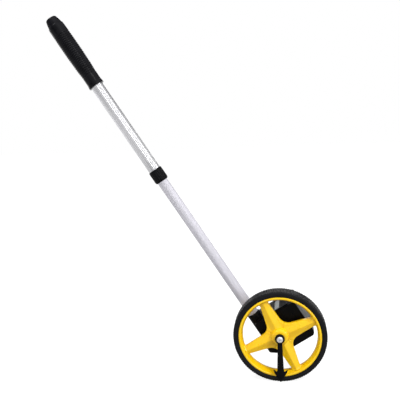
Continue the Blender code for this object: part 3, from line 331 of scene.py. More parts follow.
MATERIALS = {
    "wheel_yellow": yellow_plastic(),
    "tyre_black": tyre_rubber(),
    "housing_black": black_plastic("housing_plastic", (0.0015, 0.0015, 0.002), 0.26, 0.40, 1300.0, 0.10),
    "dark_plastic": black_plastic("inner_plastic", (0.022, 0.022, 0.025), 0.42, 0.58, 1500.0, 0.12),
    "grip_black": grip_rubber(),
    "tube_aluminium": drawn_aluminium("bright_aluminium", (0.60, 0.60, 0.62), (0.86, 0.86, 0.88),
                                      (0.76, 0.75, 0.80), 0.16, 0.30, 1.0),
    "satin_aluminium": drawn_aluminium("satin_aluminium", (0.76, 0.75, 0.80), (0.92, 0.91, 0.96),
                                       (0.86, 0.84, 0.91), 0.64, 0.80, 0.95),
    "steel_plain": turned_metal("plain_steel", (0.48, 0.48, 0.50), (0.66, 0.66, 0.68), 0.24, 0.40),
    "screw_bright": turned_metal("bright_screw", (0.78, 0.80, 0.84), (0.93, 0.94, 0.96), 0.10, 0.22, 0.7),
    "bush_brass": turned_metal("brass", (0.62, 0.43, 0.16), (0.80, 0.60, 0.28), 0.22, 0.36),
    "counter_white": white_plastic(),
    "lens_clear": clear_window(),
    "digit": digit_paint(),
}

# -------- mesh tools


def add_object(name, data):
    """Makes an object and puts it in the scene."""
    item = bpy.data.objects.new(name, data)
    bpy.context.scene.collection.objects.link(item)
    return item


def finish_mesh(builder, name):
    mesh = bpy.data.meshes.new(name)
    builder.to_mesh(mesh)
    builder.free()
    return mesh


def smooth(mesh, sharp=SHARP_ANGLE):
    mesh.shade_smooth()
    mesh.set_sharp_from_angle(angle=math.radians(sharp))


def build_piece(name, builder, body, slot, matrix, stands_for=None, sharp=SHARP_ANGLE, finish=None):
    """Turns a bmesh into a piece that rides on a body, in its slot's material unless told otherwise."""
    bmesh.ops.recalc_face_normals(builder, faces=builder.faces[:])
    piece = add_object(name, finish_mesh(builder, name))
    smooth(piece.data, sharp)
    piece.data.materials.append(MATERIALS[finish or slot])
    piece.matrix_world = matrix
    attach(piece, body)
    if stands_for:
        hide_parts(stands_for)
    return piece


def loft(rings, closed):
    """Joins equal rings of points with quads. A closed loft joins its ends, an open one caps them."""
    builder = bmesh.new()
    made = [[builder.verts.new(point) for point in ring] for ring in rings]
    pairs = list(zip(made, made[1:]))
    if closed:
        pairs.append((made[-1], made[0]))
    for ring, following in pairs:
        for i in range(len(ring)):
            builder.faces.new((ring[i - 1], ring[i], following[i], following[i - 1]))
    if not closed:
        builder.faces.new(made[0])
        builder.faces.new(made[-1])
    return builder


def revolve(profile, segments, wave=None):
    """Spins a closed profile about Z. A point is (radius, height) or (radius, height, relief)."""
    rings = []
    for step in range(segments):
        angle = 2.0 * math.pi * step / segments
        lowered = wave(angle) if wave else 0.0
        ring = []
        for point in profile:
            relief = point[2] if len(point) > 2 else 0.0
            radius = point[0] - relief * lowered
            ring.append((radius * math.cos(angle), radius * math.sin(angle), point[1]))
        rings.append(ring)
    builder = loft(rings, closed=True)
    bmesh.ops.remove_doubles(builder, verts=builder.verts[:], dist=1e-7)
    return builder


def offset(radius, height, steps, direction=1.0):
    """Profile points, given in millimetres from one place. A third value is the point's relief in metres."""
    return [(radius + out * MM, height + direction * along * MM, *relief) for out, along, *relief in steps]


def arc(centre, radius, start, end, steps):
    """Points along an arc, in degrees."""
    points = []
    for step in range(steps + 1):
        angle = math.radians(start + (end - start) * step / steps)
        points.append((centre[0] + radius * math.cos(angle), centre[1] + radius * math.sin(angle)))
    return points


def rounded(corners, sizes, steps=5):
    """Replaces each corner of a polygon with an arc of its own size."""
    outline = []
    for i, (corner, size) in enumerate(zip(corners, sizes)):
        here = Vector(corner)
        back = (Vector(corners[i - 1]) - here).normalized()
        ahead = (Vector(corners[(i + 1) % len(corners)]) - here).normalized()
        half = back.angle(ahead) / 2.0
        centre = here + (back + ahead).normalized() * (size / math.sin(half))
        first = here + back * (size / math.tan(half)) - centre
        last = here + ahead * (size / math.tan(half)) - centre
        sweep = first.angle_signed(last)
        for step in range(steps + 1):
            arm = first.copy()
            arm.rotate(Matrix.Rotation(-sweep * step / steps, 2))
            outline.append(tuple(centre + arm))
    return outline


def rounded_box(left, right, near, far, size):
    return rounded([(left, near), (right, near), (right, far), (left, far)], [size] * 4)


def slab(loops, low, high):
    """Fills the first loop, less the others as holes, and pulls it from low to high along Z."""
    builder = bmesh.new()
    edges = []
    for loop in loops:
        corners = [builder.verts.new((u, v, low)) for u, v in loop]
        edges += [builder.edges.new((corners[i - 1], corners[i])) for i in range(len(corners))]
    filled = bmesh.ops.triangle_fill(builder, use_beauty=True, edges=edges)
    faces = [item for item in filled["geom"] if isinstance(item, bmesh.types.BMFace)]
    pulled = bmesh.ops.extrude_face_region(builder, geom=faces)
    moved = [item for item in pulled["geom"] if isinstance(item, bmesh.types.BMVert)]
    bmesh.ops.translate(builder, vec=(0.0, 0.0, high - low), verts=moved)
    return builder


def circle(radius, segments, centre=(0.0, 0.0)):
    angles = [2.0 * math.pi * i / segments for i in range(segments)]
    return [(centre[0] + radius * math.cos(a), centre[1] + radius * math.sin(a)) for a in angles]


def block(low, high):
    builder = bmesh.new()
    bmesh.ops.create_cube(builder, size=1.0)
    bmesh.ops.scale(builder, vec=Vector(high) - Vector(low), verts=builder.verts[:])
    return shift(builder, *((Vector(low) + Vector(high)) / 2.0))


def shift(builder, x, y, z):
    bmesh.ops.translate(builder, vec=(x, y, z), verts=builder.verts[:])
    return builder


def spin(builder, angle):
    """Turns a bmesh about Z."""
    bmesh.ops.rotate(builder, cent=(0, 0, 0), matrix=Matrix.Rotation(angle, 3, "Z"), verts=builder.verts[:])
    return builder


def bake(piece):
    """Applies a piece's modifiers."""
    bpy.context.view_layer.update()
    evaluated = piece.evaluated_get(bpy.context.evaluated_depsgraph_get())
    mesh = bpy.data.meshes.new_from_object(evaluated)
    piece.modifiers.clear()
    old = piece.data
    piece.data = mesh
    mesh.name = old.name
    bpy.data.meshes.remove(old)
    smooth(mesh)


def soften(piece, width, segments, angle):
    """Rounds the edges that turn further than an angle."""
    bevel = piece.modifiers.new("soften", "BEVEL")
    bevel.width = width
    bevel.segments = segments
    bevel.limit_method = "ANGLE"
    bevel.angle_limit = math.radians(angle)
    bake(piece)


def shape_with(piece, builder, operation):
    bmesh.ops.recalc_face_normals(builder, faces=builder.faces[:])
    tool = add_object("tool", finish_mesh(builder, "tool"))
    tool.matrix_world = piece.matrix_world
    boolean = piece.modifiers.new("shape", "BOOLEAN")
    boolean.operation = operation
    boolean.solver = "EXACT"
    boolean.object = tool
    bake(piece)
    mesh = tool.data
    bpy.data.objects.remove(tool)
    bpy.data.meshes.remove(mesh)


def join(piece, builder):
    """Joins a solid to a piece."""
    shape_with(piece, builder, "UNION")


def cut(piece, builder):
    """Cuts a solid away from a piece."""
    shape_with(piece, builder, "DIFFERENCE")


# -------- tyre

TYRE_RIBS = 126
STEPS_TO_A_RIB = 6
RIB_DEPTH = 0.95 * MM
BEAD_DEPTH = 1.7 * MM


def tyre_side(face, inward, seat, outer):
    """One half of the tyre's section, from its bead out over the side and shoulder to the tread.

    Inward is -1 for the front half. The gaps between the ribs deepen over the shoulder.
    """
    bead = offset(seat, face, [(0.0, 0.5), (0.5, 0.1), (1.2, 0.1), (1.5, 0.4), (1.9, 0.1)], inward)
    wall = offset(outer, face, [(-4.0, 0.0), (-2.6, 0.15)], inward)
    shoulder = [(-1.3, 0.5, 0.15 * RIB_DEPTH), (-0.5, 1.2, 0.7 * RIB_DEPTH), (-0.1, 2.0, RIB_DEPTH),
                (0.0, 3.2, RIB_DEPTH), (0.0, 6.5, RIB_DEPTH)]
    return bead + wall + offset(outer, face, shoulder, inward)


def tyre_rib_wave(angle):
    """0 on a rib and 1 in the gap after it."""
    phase = (angle * TYRE_RIBS / (2.0 * math.pi)) % 1.0
    return 1.0 if phase > 0.5 else 0.0


def build_tyre():
    """Solid rubber tyre: rounded shoulders, a bead in the rim's groove and a cross-ribbed tread."""
    inner, outer = radii("tyre", WHEEL_FRAME)
    back, front = span("tyre", 2, WHEEL_FRAME)
    bead_back, bead_front = ring_span("tyre", WHEEL_FRAME, 0.0, inner + 0.5 * MM)
    seat = inner + BEAD_DEPTH
    profile = [(inner, bead_front - 0.4 * MM), (seat, bead_front + 0.4 * MM)]
    profile += tyre_side(front, -1.0, seat, outer)
    profile += [(outer, (front + back) / 2.0, RIB_DEPTH)]
    profile += reversed(tyre_side(back, 1.0, seat, outer))
    profile += [(seat, bead_back - 0.4 * MM), (inner, bead_back + 0.4 * MM)]
    builder = revolve(profile, TYRE_RIBS * STEPS_TO_A_RIB, tyre_rib_wave)
    build_piece("tyre_ribbed", builder, "wheel", "tyre_black", WHEEL_FRAME, "tyre", 40.0)


# -------- spoked wheel

RIM_STEPS = 192
RIM_DEPTH = 6.8 * MM
SPOKE_ANGLE = math.radians(25.0)
SPOKE_EDGE_AT_AXIS = 16.5 * MM  # half width of a spoke, if its straight edges ran on to the axle
SPOKE_TAPER = 0.15
SPOKE_ROUNDING = 1.2 * MM
SPOKE_STEPS = 20
SPOKE_STATION = 0.9 * MM
SPOKE_LIFT = 0.011  # in mm; keeps the flat backs of two spokes from lying in one plane
HUB_FILLET = 17.0 * MM
RIM_FILLET = 4.0 * MM
RIM_BLEND = 1.5 * MM
WEB_FRONT = 3.0 * MM
WEB_BACK = -5.0 * MM
RIDGE = 3.8 * MM
RIDGE_SLOPE = 0.42
RIDGE_ROUNDING = 0.5 * MM
HUB_RADIUS = 16.0 * MM


def spoke_half_width(radius, rim_inner):
    """Half width of a spoke at a distance from the axle, with the fillets at both ends."""
    slope = math.sqrt(1.0 + SPOKE_TAPER ** 2)
    centre = (SPOKE_EDGE_AT_AXIS + HUB_FILLET * slope) / (1.0 + SPOKE_TAPER)
    touch = centre - HUB_FILLET * SPOKE_TAPER / slope
    if radius < centre - HUB_FILLET / math.sqrt(2.0):
        return radius
    if radius < touch:
        return centre - math.sqrt(HUB_FILLET ** 2 - (radius - centre) ** 2)
    straight = SPOKE_EDGE_AT_AXIS - SPOKE_TAPER * radius
    start = rim_inner - RIM_FILLET
    if radius > start:
        over = min((radius - start) / RIM_FILLET, 1.0)
        straight += RIM_FILLET * (1.0 - math.sqrt(1.0 - over ** 2))
    return straight


def spoke_front(radius, aside, rim_inner):
    """Height of a spoke's front surface at a distance aside from its ridge line."""
    from_ridge = math.hypot(aside, RIDGE_ROUNDING) - RIDGE_ROUNDING
    roof = max(0.0, RIDGE - RIDGE_SLOPE * from_ridge)
    to_rim = min(1.0, max(0.0, 1.0 - (rim_inner - radius) / RIM_BLEND))
    rise = 1.2 * MM * (1.0 - math.sqrt(1.0 - to_rim ** 2))
    return WEB_FRONT + roof + rise


def spoke_ring(radius, rim_inner):
    """Cross-section of a spoke: a roofed front, rounded edges and a flat back."""
    flat = spoke_half_width(radius, rim_inner) - SPOKE_ROUNDING
    ring = []
    for step in range(SPOKE_STEPS + 1):
        aside = (-1.0 + 2.0 * step / SPOKE_STEPS) * flat
        ring.append((radius, aside, spoke_front(radius, aside, rim_inner)))
    corners = arc((flat, ring[-1][2] - SPOKE_ROUNDING), SPOKE_ROUNDING, 60.0, 0.0, 2)
    corners += arc((flat, WEB_BACK + SPOKE_ROUNDING), SPOKE_ROUNDING, 0.0, -90.0, 3)
    ring += [(radius, aside, height) for aside, height in corners]
    mirrored = [(r, -aside, height) for r, aside, height in reversed(ring[SPOKE_STEPS + 1:])]
    return ring + mirrored


def spoke_mesh(angle, rim_inner):
    """A spoke from inside the hub to inside the rim."""
    stations = [HUB_RADIUS - 4.0 * MM]
    while stations[-1] + SPOKE_STATION < rim_inner - 0.2 * MM:
        stations.append(HUB_RADIUS - 4.0 * MM + len(stations) * SPOKE_STATION)
    stations += [rim_inner - 0.05 * MM, rim_inner + 1.2 * MM]
    return spin(loft([spoke_ring(station, rim_inner) for station in stations], closed=False), angle)


def rim_side(face, inward, inner, lip):
    """One half of the rim's section, from its inner edge over the lip into the tyre's groove."""
    edge = offset(inner, face, [(0.0, 1.9), (0.3, 0.9), (0.9, 0.25), (1.7, 0.0)], inward)
    outside = [(-1.3, 0.05), (-0.7, 0.35), (-0.3, 0.9), (-0.2, 2.8), (-1.7, 3.6)]
    return edge + offset(lip, face, outside, inward)


def hub_profile(back, front):
    """Stepped hub with a flat front, a tapered back and a sleeve for the drive gear."""
    profile = offset(0.0, front, [(4.5, -0.4), (4.9, 0.0), (10.8, 0.0), (11.4, -0.2), (11.8, -0.9),
                                  (12.2, -1.6), (13.0, -1.9), (13.6, -2.5)])
    profile += offset(0.0, 0.0, [(15.6, 4.0), (16.0, 2.0), (16.0, -8.0), (14.5, -9.0), (11.6, -12.6),
                                 (11.0, -13.0), (5.8, -13.0)])
    return profile + offset(0.0, back, [(5.8, 0.3), (5.5, 0.0), (4.5, 0.0)])


def build_spoked_wheel():
    """One yellow moulding: channelled rim, four roofed spokes and a stepped hub."""
    lip = radii("spoked_wheel", WHEEL_FRAME)[1]
    hub_back, hub_front = span("spoked_wheel", 2, WHEEL_FRAME)
    back, front = ring_span("spoked_wheel", WHEEL_FRAME, lip - 6.5 * MM, 2.0 * lip)
    rim_inner = lip - RIM_DEPTH
    inner = lip - 4.3 * MM
    rim = rim_side(front, -1.0, inner, lip)
    rim += reversed(rim_side(back, 1.0, inner, lip))
    rim += [(rim_inner, WEB_BACK), (rim_inner, WEB_FRONT), (inner - 0.9 * MM, front - 4.0 * MM)]
    wheel = build_piece("wheel_moulding", revolve(rim, RIM_STEPS), "wheel", "wheel_yellow", WHEEL_FRAME,
                        "spoked_wheel")
    for i in range(4):
        spoke = spoke_mesh(SPOKE_ANGLE + i * math.pi / 2.0, rim_inner)
        join(wheel, shift(spoke, 0.0, 0.0, SPOKE_LIFT * i * MM))
    join(wheel, revolve(hub_profile(hub_back, hub_front), 96))


# -------- pointer and its screw

POINTER_BORE = 2.95 * MM
POINTER_BOSS = 8.2  # radius in mm
POINTER_NECK = 4.0  # half width of the arm where it leaves the boss, in mm


def cross_recess(reach, half, high, low, angle):
    """The two slots of a cross recess, which narrow as they go down."""
    slots = []
    for turn in (0.0, math.pi / 2.0):
        top = [(-reach, -half, high), (reach, -half, high), (reach, half, high), (-reach, half, high)]
        bottom = [(u * 0.35, v * 0.6, low) for u, v, _ in top]
        slots.append(spin(loft([top, bottom], closed=False), turn + angle))
    return slots


def build_pointer():
    """Plumb pointer: a widening arm with a ringed boss and a barbed head."""
    back, front = span("pointer", 2, WHEEL_FRAME)
    tip = -span("pointer", 1, WHEEL_FRAME)[0]
    start = math.asin(POINTER_NECK / POINTER_BOSS)
    boss = []
    for step in range(33):
        angle = -math.pi / 2.0 + start + (2.0 * math.pi - 2.0 * start) * step / 32.0
        boss.append((POINTER_BOSS * MM * math.cos(angle), POINTER_BOSS * MM * math.sin(angle)))
    left = offset(0.0, 0.0, [(-4.5, -25.0), (-5.6, -56.6), (-6.6, -58.4), (-11.7, -54.9), (-12.0, -55.4),
                             (-10.6, -59.6), (-8.3, -63.6), (-4.6, -69.6)])
    left += [(-1.0 * MM, -tip + 0.4 * MM)]
    right = [(-u, v) for u, v in reversed(left)]
    outline = boss + left + [(0.0, -tip)] + right
    plate = slab([outline, circle(POINTER_BORE, 40)], back + 0.4 * MM, front - 1.0 * MM)
    arm = build_piece("pointer_arm", plate, "pointer", "housing_black", WHEEL_FRAME, "pointer")
    soften(arm, 0.5 * MM, 3, 30.0)
    ring = [(POINTER_BORE, back)] + offset(0.0, back, [(7.8, 0.0), (8.2, 0.4)])
    ring += offset(0.0, front, [(8.2, -0.6), (7.6, 0.0), (6.4, 0.0), (6.0, -0.35)])
    ring += [(POINTER_BORE, front - 0.35 * MM)]
    join(arm, revolve(ring, 64))


def build_pointer_screw():
    """Plated pan-head screw with a tapered cross recess."""
    back, front = span("pointer_screw", 2, WHEEL_FRAME)
    head = 5.3 * MM
    seat = front - 3.2 * MM
    dome_foot = seat + 1.0 * MM
    dome = arc((0.0, dome_foot), head, 0.0, 90.0, 10)
    dome = [(radius, dome_foot + (height - dome_foot) * 2.2 * MM / head) for radius, height in dome]
    dome[-1] = (0.0, dome[-1][1])
    profile = offset(0.0, back, [(0.0, 0.0), (1.6, 0.0), (1.9, 0.4)])
    profile += offset(0.0, seat, [(1.9, -5.0), (2.6, -4.8), (2.6, 0.0)])
    profile += [(head - 0.2 * MM, seat)] + dome
    screw = build_piece("pointer_screw_plated", revolve(profile, 64), "housing", "screw_bright", WHEEL_FRAME,
                        "pointer_screw")
    for slot in cross_recess(3.0 * MM, 0.65 * MM, front + 0.5 * MM, front - 2.2 * MM, 0.35):
        cut(screw, slot)


# -------- housing

CASE_WALL = 2.2 * MM
SOCKET_RADIUS = 11.8 * MM
SCREW_PAD_HEIGHT = 40.0 * MM
BEZEL_GROOVES = ((25.0 * MM, 27.2 * MM), (29.6 * MM, 31.8 * MM))
POST_PLACES = [(u * MM, v * MM) for u, v in ((44.0, -29.0), (-29.0, -19.0), (-8.0, 27.5), (45.0, -4.0))]
KNOB_GROOVES = 12.0


def case_outline(shrink):
    """The housing's side view in the handle frame, from the lower left chamfer."""
    right = span("rear_cover", 0)[1]
    low, high = span("rear_cover", 2)
    corners = [(-18.0 * MM, low), (right, low), (right, high), (-31.0 * MM, high), (-31.0 * MM, 5.0 * MM),
               (-36.0 * MM, -12.0 * MM), (-36.0 * MM, -22.5 * MM)]
    sizes = [4.0, 7.0, 3.5, 3.0, 6.0, 6.0, 4.0]
    moved = []
    for i, corner in enumerate(corners):
        here = Vector(corner)
        side_in = (here - Vector(corners[i - 1])).normalized()
        side_out = (Vector(corners[(i + 1) % len(corners)]) - here).normalized()
        normal_in = Vector((-side_in.y, side_in.x))
        middle = (normal_in + Vector((-side_out.y, side_out.x))).normalized()
        moved.append(tuple(here + middle * (shrink / middle.dot(normal_in))))
    return rounded(moved, [max(size * MM - shrink, 0.6 * MM) for size in sizes], 6)


def to_side_view(builder):
    """Turns a slab drawn in X and Y into one drawn across and up the handle, pulled along the axle."""
    turn = Matrix(((1, 0, 0), (0, 0, 1), (0, 1, 0)))
    bmesh.ops.transform(builder, matrix=turn.to_4x4(), verts=builder.verts[:])
    return builder


def side_slab(loops, start, end):
    return to_side_view(slab(loops, start, end))


def side_rod(radius, start, end, across, up, segments=32):
    return side_slab([circle(radius, segments, (across, up))], start, end)


def socket_barrel(top):
    """The socket's outside, with a thicker rounded band at its mouth."""
    waist = SOCKET_RADIUS - 0.2 * MM
    foot = -14.0 * MM
    profile = [(0.0, foot), (waist, foot), (waist, top - 4.2 * MM)]
    profile += offset(SOCKET_RADIUS, top, [(0.0, -4.0), (0.0, -1.4), (-0.4, -0.4), (-1.1, 0.0)])
    return shift(revolve(profile + [(0.0, top)], 64), TUBE_PLACE.x, TUBE_PLACE.y, 0.0)


def socket_bore(top):
    radius = radii("lower_tube", TUBE_FRAME)[1] + 0.3 * MM
    low = -9.3 * MM
    high = top + 2.0 * MM
    bore = revolve([(0.0, low), (radius, low), (radius, high), (0.0, high)], 64)
    return shift(bore, TUBE_PLACE.x, TUBE_PLACE.y, 0.0)


def lens_opening():
    """The hole in the case's top that the window's lens sits in."""
    air = 0.3 * MM
    left, right = span("window_lens", 0)
    near, far = span("window_lens", 1)
    top = span("rear_cover", 2)[1]
    return block((left - air, near - air, top - 4.0 * MM), (right + air, far + air, top + 2.0 * MM))


def build_front_case():
    """Deep moulded tray with softened edges, and the handle socket as one piece with it."""
    front, back = span("front_case", 1)
    inside = front + CASE_WALL
    case = build_piece("case_moulding", side_slab([case_outline(0.0)], front, back), "housing",
                       "housing_black", HANDLE_FRAME, "front_case")
    soften(case, 1.0 * MM, 4, 50.0)
    cut(case, side_slab([case_outline(CASE_WALL)], inside, back + 2.0 * MM))
    socket_top = span("front_case", 2)[1]
    join(case, socket_barrel(socket_top))
    pad_start = TUBE_PLACE.y + 4.0 * MM
    pad_face = TUBE_PLACE.y + SOCKET_RADIUS + 1.0 * MM
    join(case, side_rod(4.2 * MM, pad_start, pad_face, TUBE_PLACE.x, SCREW_PAD_HEIGHT))
    for across, up in POST_PLACES:
        join(case, side_rod(3.2 * MM, inside - 0.5 * MM, back, across, up, 24))
    join(case, side_slab([circle(15.0 * MM, 72), circle(11.4 * MM, 72)], front - 0.6 * MM, front + 0.8 * MM))
    cut(case, socket_bore(socket_top))
    cut(case, side_rod(11.5 * MM, front - 2.0 * MM, inside + 1.0 * MM, 0.0, 0.0, 72))
    cut(case, lens_opening())
    cut(case, side_rod(1.8 * MM, pad_start, pad_face + 2.0 * MM, TUBE_PLACE.x, SCREW_PAD_HEIGHT))
    for across, up in POST_PLACES:
        cut(case, side_rod(1.6 * MM, back - 12.0 * MM, back + 1.0 * MM, across, up, 16))


def build_rear_cover():
    """Flat cover with a softened edge, a panel line and countersunk screw holes."""
    boss_start, outer = span("rear_cover", 1)
    inner = outer - 2.1 * MM
    cover = build_piece("cover_plate", side_slab([case_outline(0.0)], inner, outer), "housing",
                        "housing_black", HANDLE_FRAME, "rear_cover")
    soften(cover, 0.6 * MM, 3, 50.0)
    line = [case_outline(3.0 * MM), case_outline(3.7 * MM)]
    cut(cover, side_slab(line, outer - 0.35 * MM, outer + 1.0 * MM))
    join(cover, side_rod(6.5 * MM, boss_start, inner + 0.5 * MM, 0.0, 0.0, 48))
    cut(cover, side_rod(3.3 * MM, boss_start - 1.0 * MM, inner - 1.2 * MM, 0.0, 0.0))
    cut(cover, side_rod(2.3 * MM, inner - 1.0 * MM, outer + 1.0 * MM, RESET_PLACE.x, RESET_PLACE.z))
    hole = offset(0.0, inner, [(0.0, -1.0), (1.7, -1.0), (1.7, 0.2)])
    hole += offset(0.0, outer, [(3.2, -0.1), (3.2, 1.0), (0.0, 1.0)])
    for across, up in POST_PLACES:
        cut(cover, shift(to_side_view(revolve(hole, 32)), across, 0.0, up))


def build_cover_screws():
    """Countersunk screws with cross recesses, flush with the cover."""
    for number, (across, up) in enumerate(POST_PLACES, start=1):
        node = f"cover_screw_{number}"
        start, end = span(node, 1)
        profile = offset(0.0, start, [(0.0, 0.0), (0.9, 0.0), (1.2, 0.4)])
        profile += offset(0.0, end, [(1.2, -1.9), (2.75, -0.15), (2.7, 0.0), (0.0, 0.0)])
        place = HANDLE_FRAME @ Matrix.Translation((across, 0.0, up))
        screw = build_piece(f"{node}_head", to_side_view(revolve(profile, 32)), "housing", "steel_plain",
                            place, node)
        for slot in cross_recess(1.9 * MM, 0.42 * MM, end + 0.4 * MM, end - 1.4 * MM, 0.6 * number):
            cut(screw, to_side_view(slot))


def build_window_bezel():
    """Raised frame around the counter window, with two grooves along its forward side."""
    left, right = span("window_bezel", 0)
    near, far = span("window_bezel", 1)
    low, high = span("window_bezel", 2)
    lens_left, lens_right = span("window_lens", 0)
    lens_near, lens_far = span("window_lens", 1)
    outer = rounded_box(left, right, near, far, 1.5 * MM)
    hole = rounded_box(lens_left + 0.6 * MM, lens_right - 0.2 * MM, lens_near + 0.8 * MM,
                       lens_far - 0.8 * MM, 0.8 * MM)
    bezel = build_piece("window_frame", slab([outer, hole], low, high), "housing", "housing_black",
                        HANDLE_FRAME, "window_bezel")
    soften(bezel, 0.35 * MM, 3, 50.0)
    for groove_left, groove_right in BEZEL_GROOVES:
        cut(bezel, block((groove_left, near + 1.5 * MM, high - 0.7 * MM),
                         (groove_right, far - 1.5 * MM, high + 1.0 * MM)))


def knob_wave(angle):
    """1 at the bottom of a finger groove and 0 between the grooves."""
    return max(0.0, math.cos(KNOB_GROOVES * angle)) ** 0.6


def build_reset_knob():
    """Finger-grooved knob with a dished face."""
    start, end = span("reset_knob", 1)
    radius = radii("reset_knob", RESET_FRAME)[1]
    groove = 0.8 * MM
    bore = 2.3 * MM
    bore_end = start + 5.9 * MM
    profile = [(bore, start)]
    profile += offset(radius, start, [(-1.6, 0.0), (-0.8, 0.3, 0.6 * groove), (-0.2, 1.0, groove),
                                      (0.0, 2.0, groove)])
    profile += offset(radius, end, [(0.0, -2.2, groove), (-0.3, -1.1, groove), (-1.0, -0.3, 0.5 * groove),
                                    (-1.7, 0.0), (-2.4, -0.1), (-3.3, -0.7)])
    profile += [(0.0, end - 0.9 * MM), (0.0, bore_end), (bore, bore_end)]
    place = HANDLE_FRAME @ Matrix.Translation((RESET_PLACE.x, 0.0, RESET_PLACE.z))
    build_piece("reset_knob_grooved", to_side_view(revolve(profile, 144, knob_wave)), "reset_knob",
                "housing_black", place, "reset_knob")


# -------- counter digits

DIGIT_SIZE = 7.6 * MM
DIGIT_THICKNESS = 0.04 * MM


def digit_mesh(text):
    """A numeral as a thin flat mesh, centred on the origin."""
    curve = bpy.data.curves.new("digit", "FONT")
    curve.body = text
    curve.size = DIGIT_SIZE
    curve.align_x = "CENTER"
    curve.align_y = "CENTER"
    curve.extrude = DIGIT_THICKNESS
    curve.resolution_u = 3
    holder = add_object("digit", curve)
    bpy.context.view_layer.update()
    mesh = bpy.data.meshes.new_from_object(holder.evaluated_get(bpy.context.evaluated_depsgraph_get()))
    bpy.data.objects.remove(holder)
    bpy.data.curves.remove(curve)
    return mesh


def build_digits():
    """Numerals 0 to 9 printed around each drum, upright for a reader behind the handle."""
    window = span("window_lens", 0)
    for drum in range(1, 6):
        points = node_points(f"number_drum_{drum}", DRUM_FRAME)
        radius = max(math.hypot(p.x, p.z) for p in points)
        band = [p.y for p in points if math.hypot(p.x, p.z) > radius - 0.05 * MM]
        middle = (min(band) + max(band)) / 2.0
        reading = math.asin(((window[0] + window[1]) / 2.0 - DRUM_PLACE.x) / radius)
        builder = bmesh.new()
        for value in range(10):
            mesh = digit_mesh(str(value))
            around = reading + 2.0 * math.pi * value / 10.0
            for vertex in mesh.vertices:
                angle = around + vertex.co.y / radius
                lift = radius + 0.03 * MM + vertex.co.z
                vertex.co = (math.sin(angle) * lift, middle - vertex.co.x, math.cos(angle) * lift)
            builder.from_mesh(mesh)
            bpy.data.meshes.remove(mesh)
        build_piece(f"drum_{drum}_digits", builder, f"counter_drum_{drum}", "dark_plastic", DRUM_FRAME,
                    finish="digit")


# -------- handle

TUBE_FLUTES = 28
STEPS_TO_A_FLUTE = 8
FLUTE_DEPTH = 0.32 * MM
TUBE_SECTIONS = 8
COLLAR_RADIUS = 12.5 * MM
COLLAR_RIBS = 24.0
COLLAR_RIB_DEPTH = 0.45 * MM
GRIP_RING_PITCH = 3.7 * MM
GRIP_RING_DEPTH = 0.85 * MM
GRIP_RINGS = (22.0 * MM, 106.0 * MM)
GRIP_SHOULDER = 124.0 * MM
GRIP_STEPS = 300
# Heights above the grip's foot and radii, in millimetres, then the same the other way round for its head.
GRIP_SWELL = ((0.0, 14.2), (2.0, 14.3), (4.5, 13.8), (8.0, 13.4), (20.0, 13.4), (42.0, 14.5), (68.0, 15.05),
              (92.0, 14.95), (118.0, 14.4), (124.0, 14.1))
GRIP_HEAD = ((13.8, 124.4), (13.3, 124.9), (12.8, 125.3), (12.7, 126.2), (12.8, 127.1), (12.3, 129.5),
             (11.7, 132.2), (10.5, 136.6), (9.9, 138.3), (9.2, 139.1))


def flute_wave(angle):
    return 0.5 - 0.5 * math.cos(angle * TUBE_FLUTES)


def fluted_tube(inner, outer, bottom, top):
    """A tube with shallow rounded flutes and a small chamfer at each end."""
    profile = [(inner, bottom)] + offset(outer, bottom, [(-0.5, 0.0), (-0.15, 0.4, FLUTE_DEPTH)])
    for i in range(TUBE_SECTIONS + 1):
        height = bottom + 1.0 * MM + (top - bottom - 2.0 * MM) * i / TUBE_SECTIONS
        profile.append((outer, height, FLUTE_DEPTH))
    profile += offset(outer, top, [(-0.15, -0.4, FLUTE_DEPTH), (-0.5, 0.0)]) + [(inner, top)]
    return revolve(profile, TUBE_FLUTES * STEPS_TO_A_FLUTE, flute_wave)


def build_tubes():
    """The inner tube has a satin finish and the sliding one is bright."""
    tubes = (("lower_tube", "housing", "satin_aluminium"), ("upper_tube", "upper_handle", "tube_aluminium"))
    for node, body, finish in tubes:
        tube = fluted_tube(*radii(node, TUBE_FRAME), *span(node, 2, TUBE_FRAME))
        build_piece(f"{node}_fluted", tube, body, "tube_aluminium", TUBE_FRAME, node, 60.0, finish)


def collar_wave(angle):
    """Squared-off ribs: near 0 on a rib and near 1 between two."""
    swing = math.cos(angle * COLLAR_RIBS)
    return 0.5 - 0.5 * math.copysign(abs(swing) ** 0.6, swing)


def build_collar():
    """Twist collar: finger ribs around the barrel, plain bands at its ends and a chamfered foot."""
    inner = radii("lock_collar", TUBE_FRAME)[0]
    bore = radii("upper_tube", TUBE_FRAME)[1] + 0.25 * MM
    bottom, top = span("lock_collar", 2, TUBE_FRAME)
    rib = COLLAR_RIB_DEPTH
    profile = offset(inner, bottom, [(0.0, 0.3), (0.3, 0.0)])
    profile += offset(COLLAR_RADIUS, bottom, [(-2.2, 0.0), (-1.2, 0.6), (-0.5, 1.6), (-0.35, 2.4),
                                              (-0.1, 3.0, rib), (0.0, 3.8, rib)])
    profile += offset(COLLAR_RADIUS, top, [(0.0, -4.0, rib), (-0.1, -3.2, rib), (-0.3, -2.8), (0.0, -2.3),
                                           (0.0, -0.6), (-0.3, -0.1)])
    profile += offset(bore, top, [(0.2, 0.0), (0.0, -0.3)])
    profile += [(bore, bottom + 1.7 * MM), (inner, bottom + 1.6 * MM)]
    build_piece("lock_collar_ribbed", revolve(profile, 240, collar_wave), "lock_collar", "housing_black",
                TUBE_FRAME, "lock_collar")


def smooth_curve(points, value):
    """Reads a smooth curve through (position, size) points."""
    for (x0, y0), (x1, y1) in zip(points, points[1:]):
        if x0 <= value <= x1:
            share = (value - x0) / (x1 - x0)
            share = share * share * (3.0 - 2.0 * share)
            return y0 + (y1 - y0) * share
    return points[-1][1]


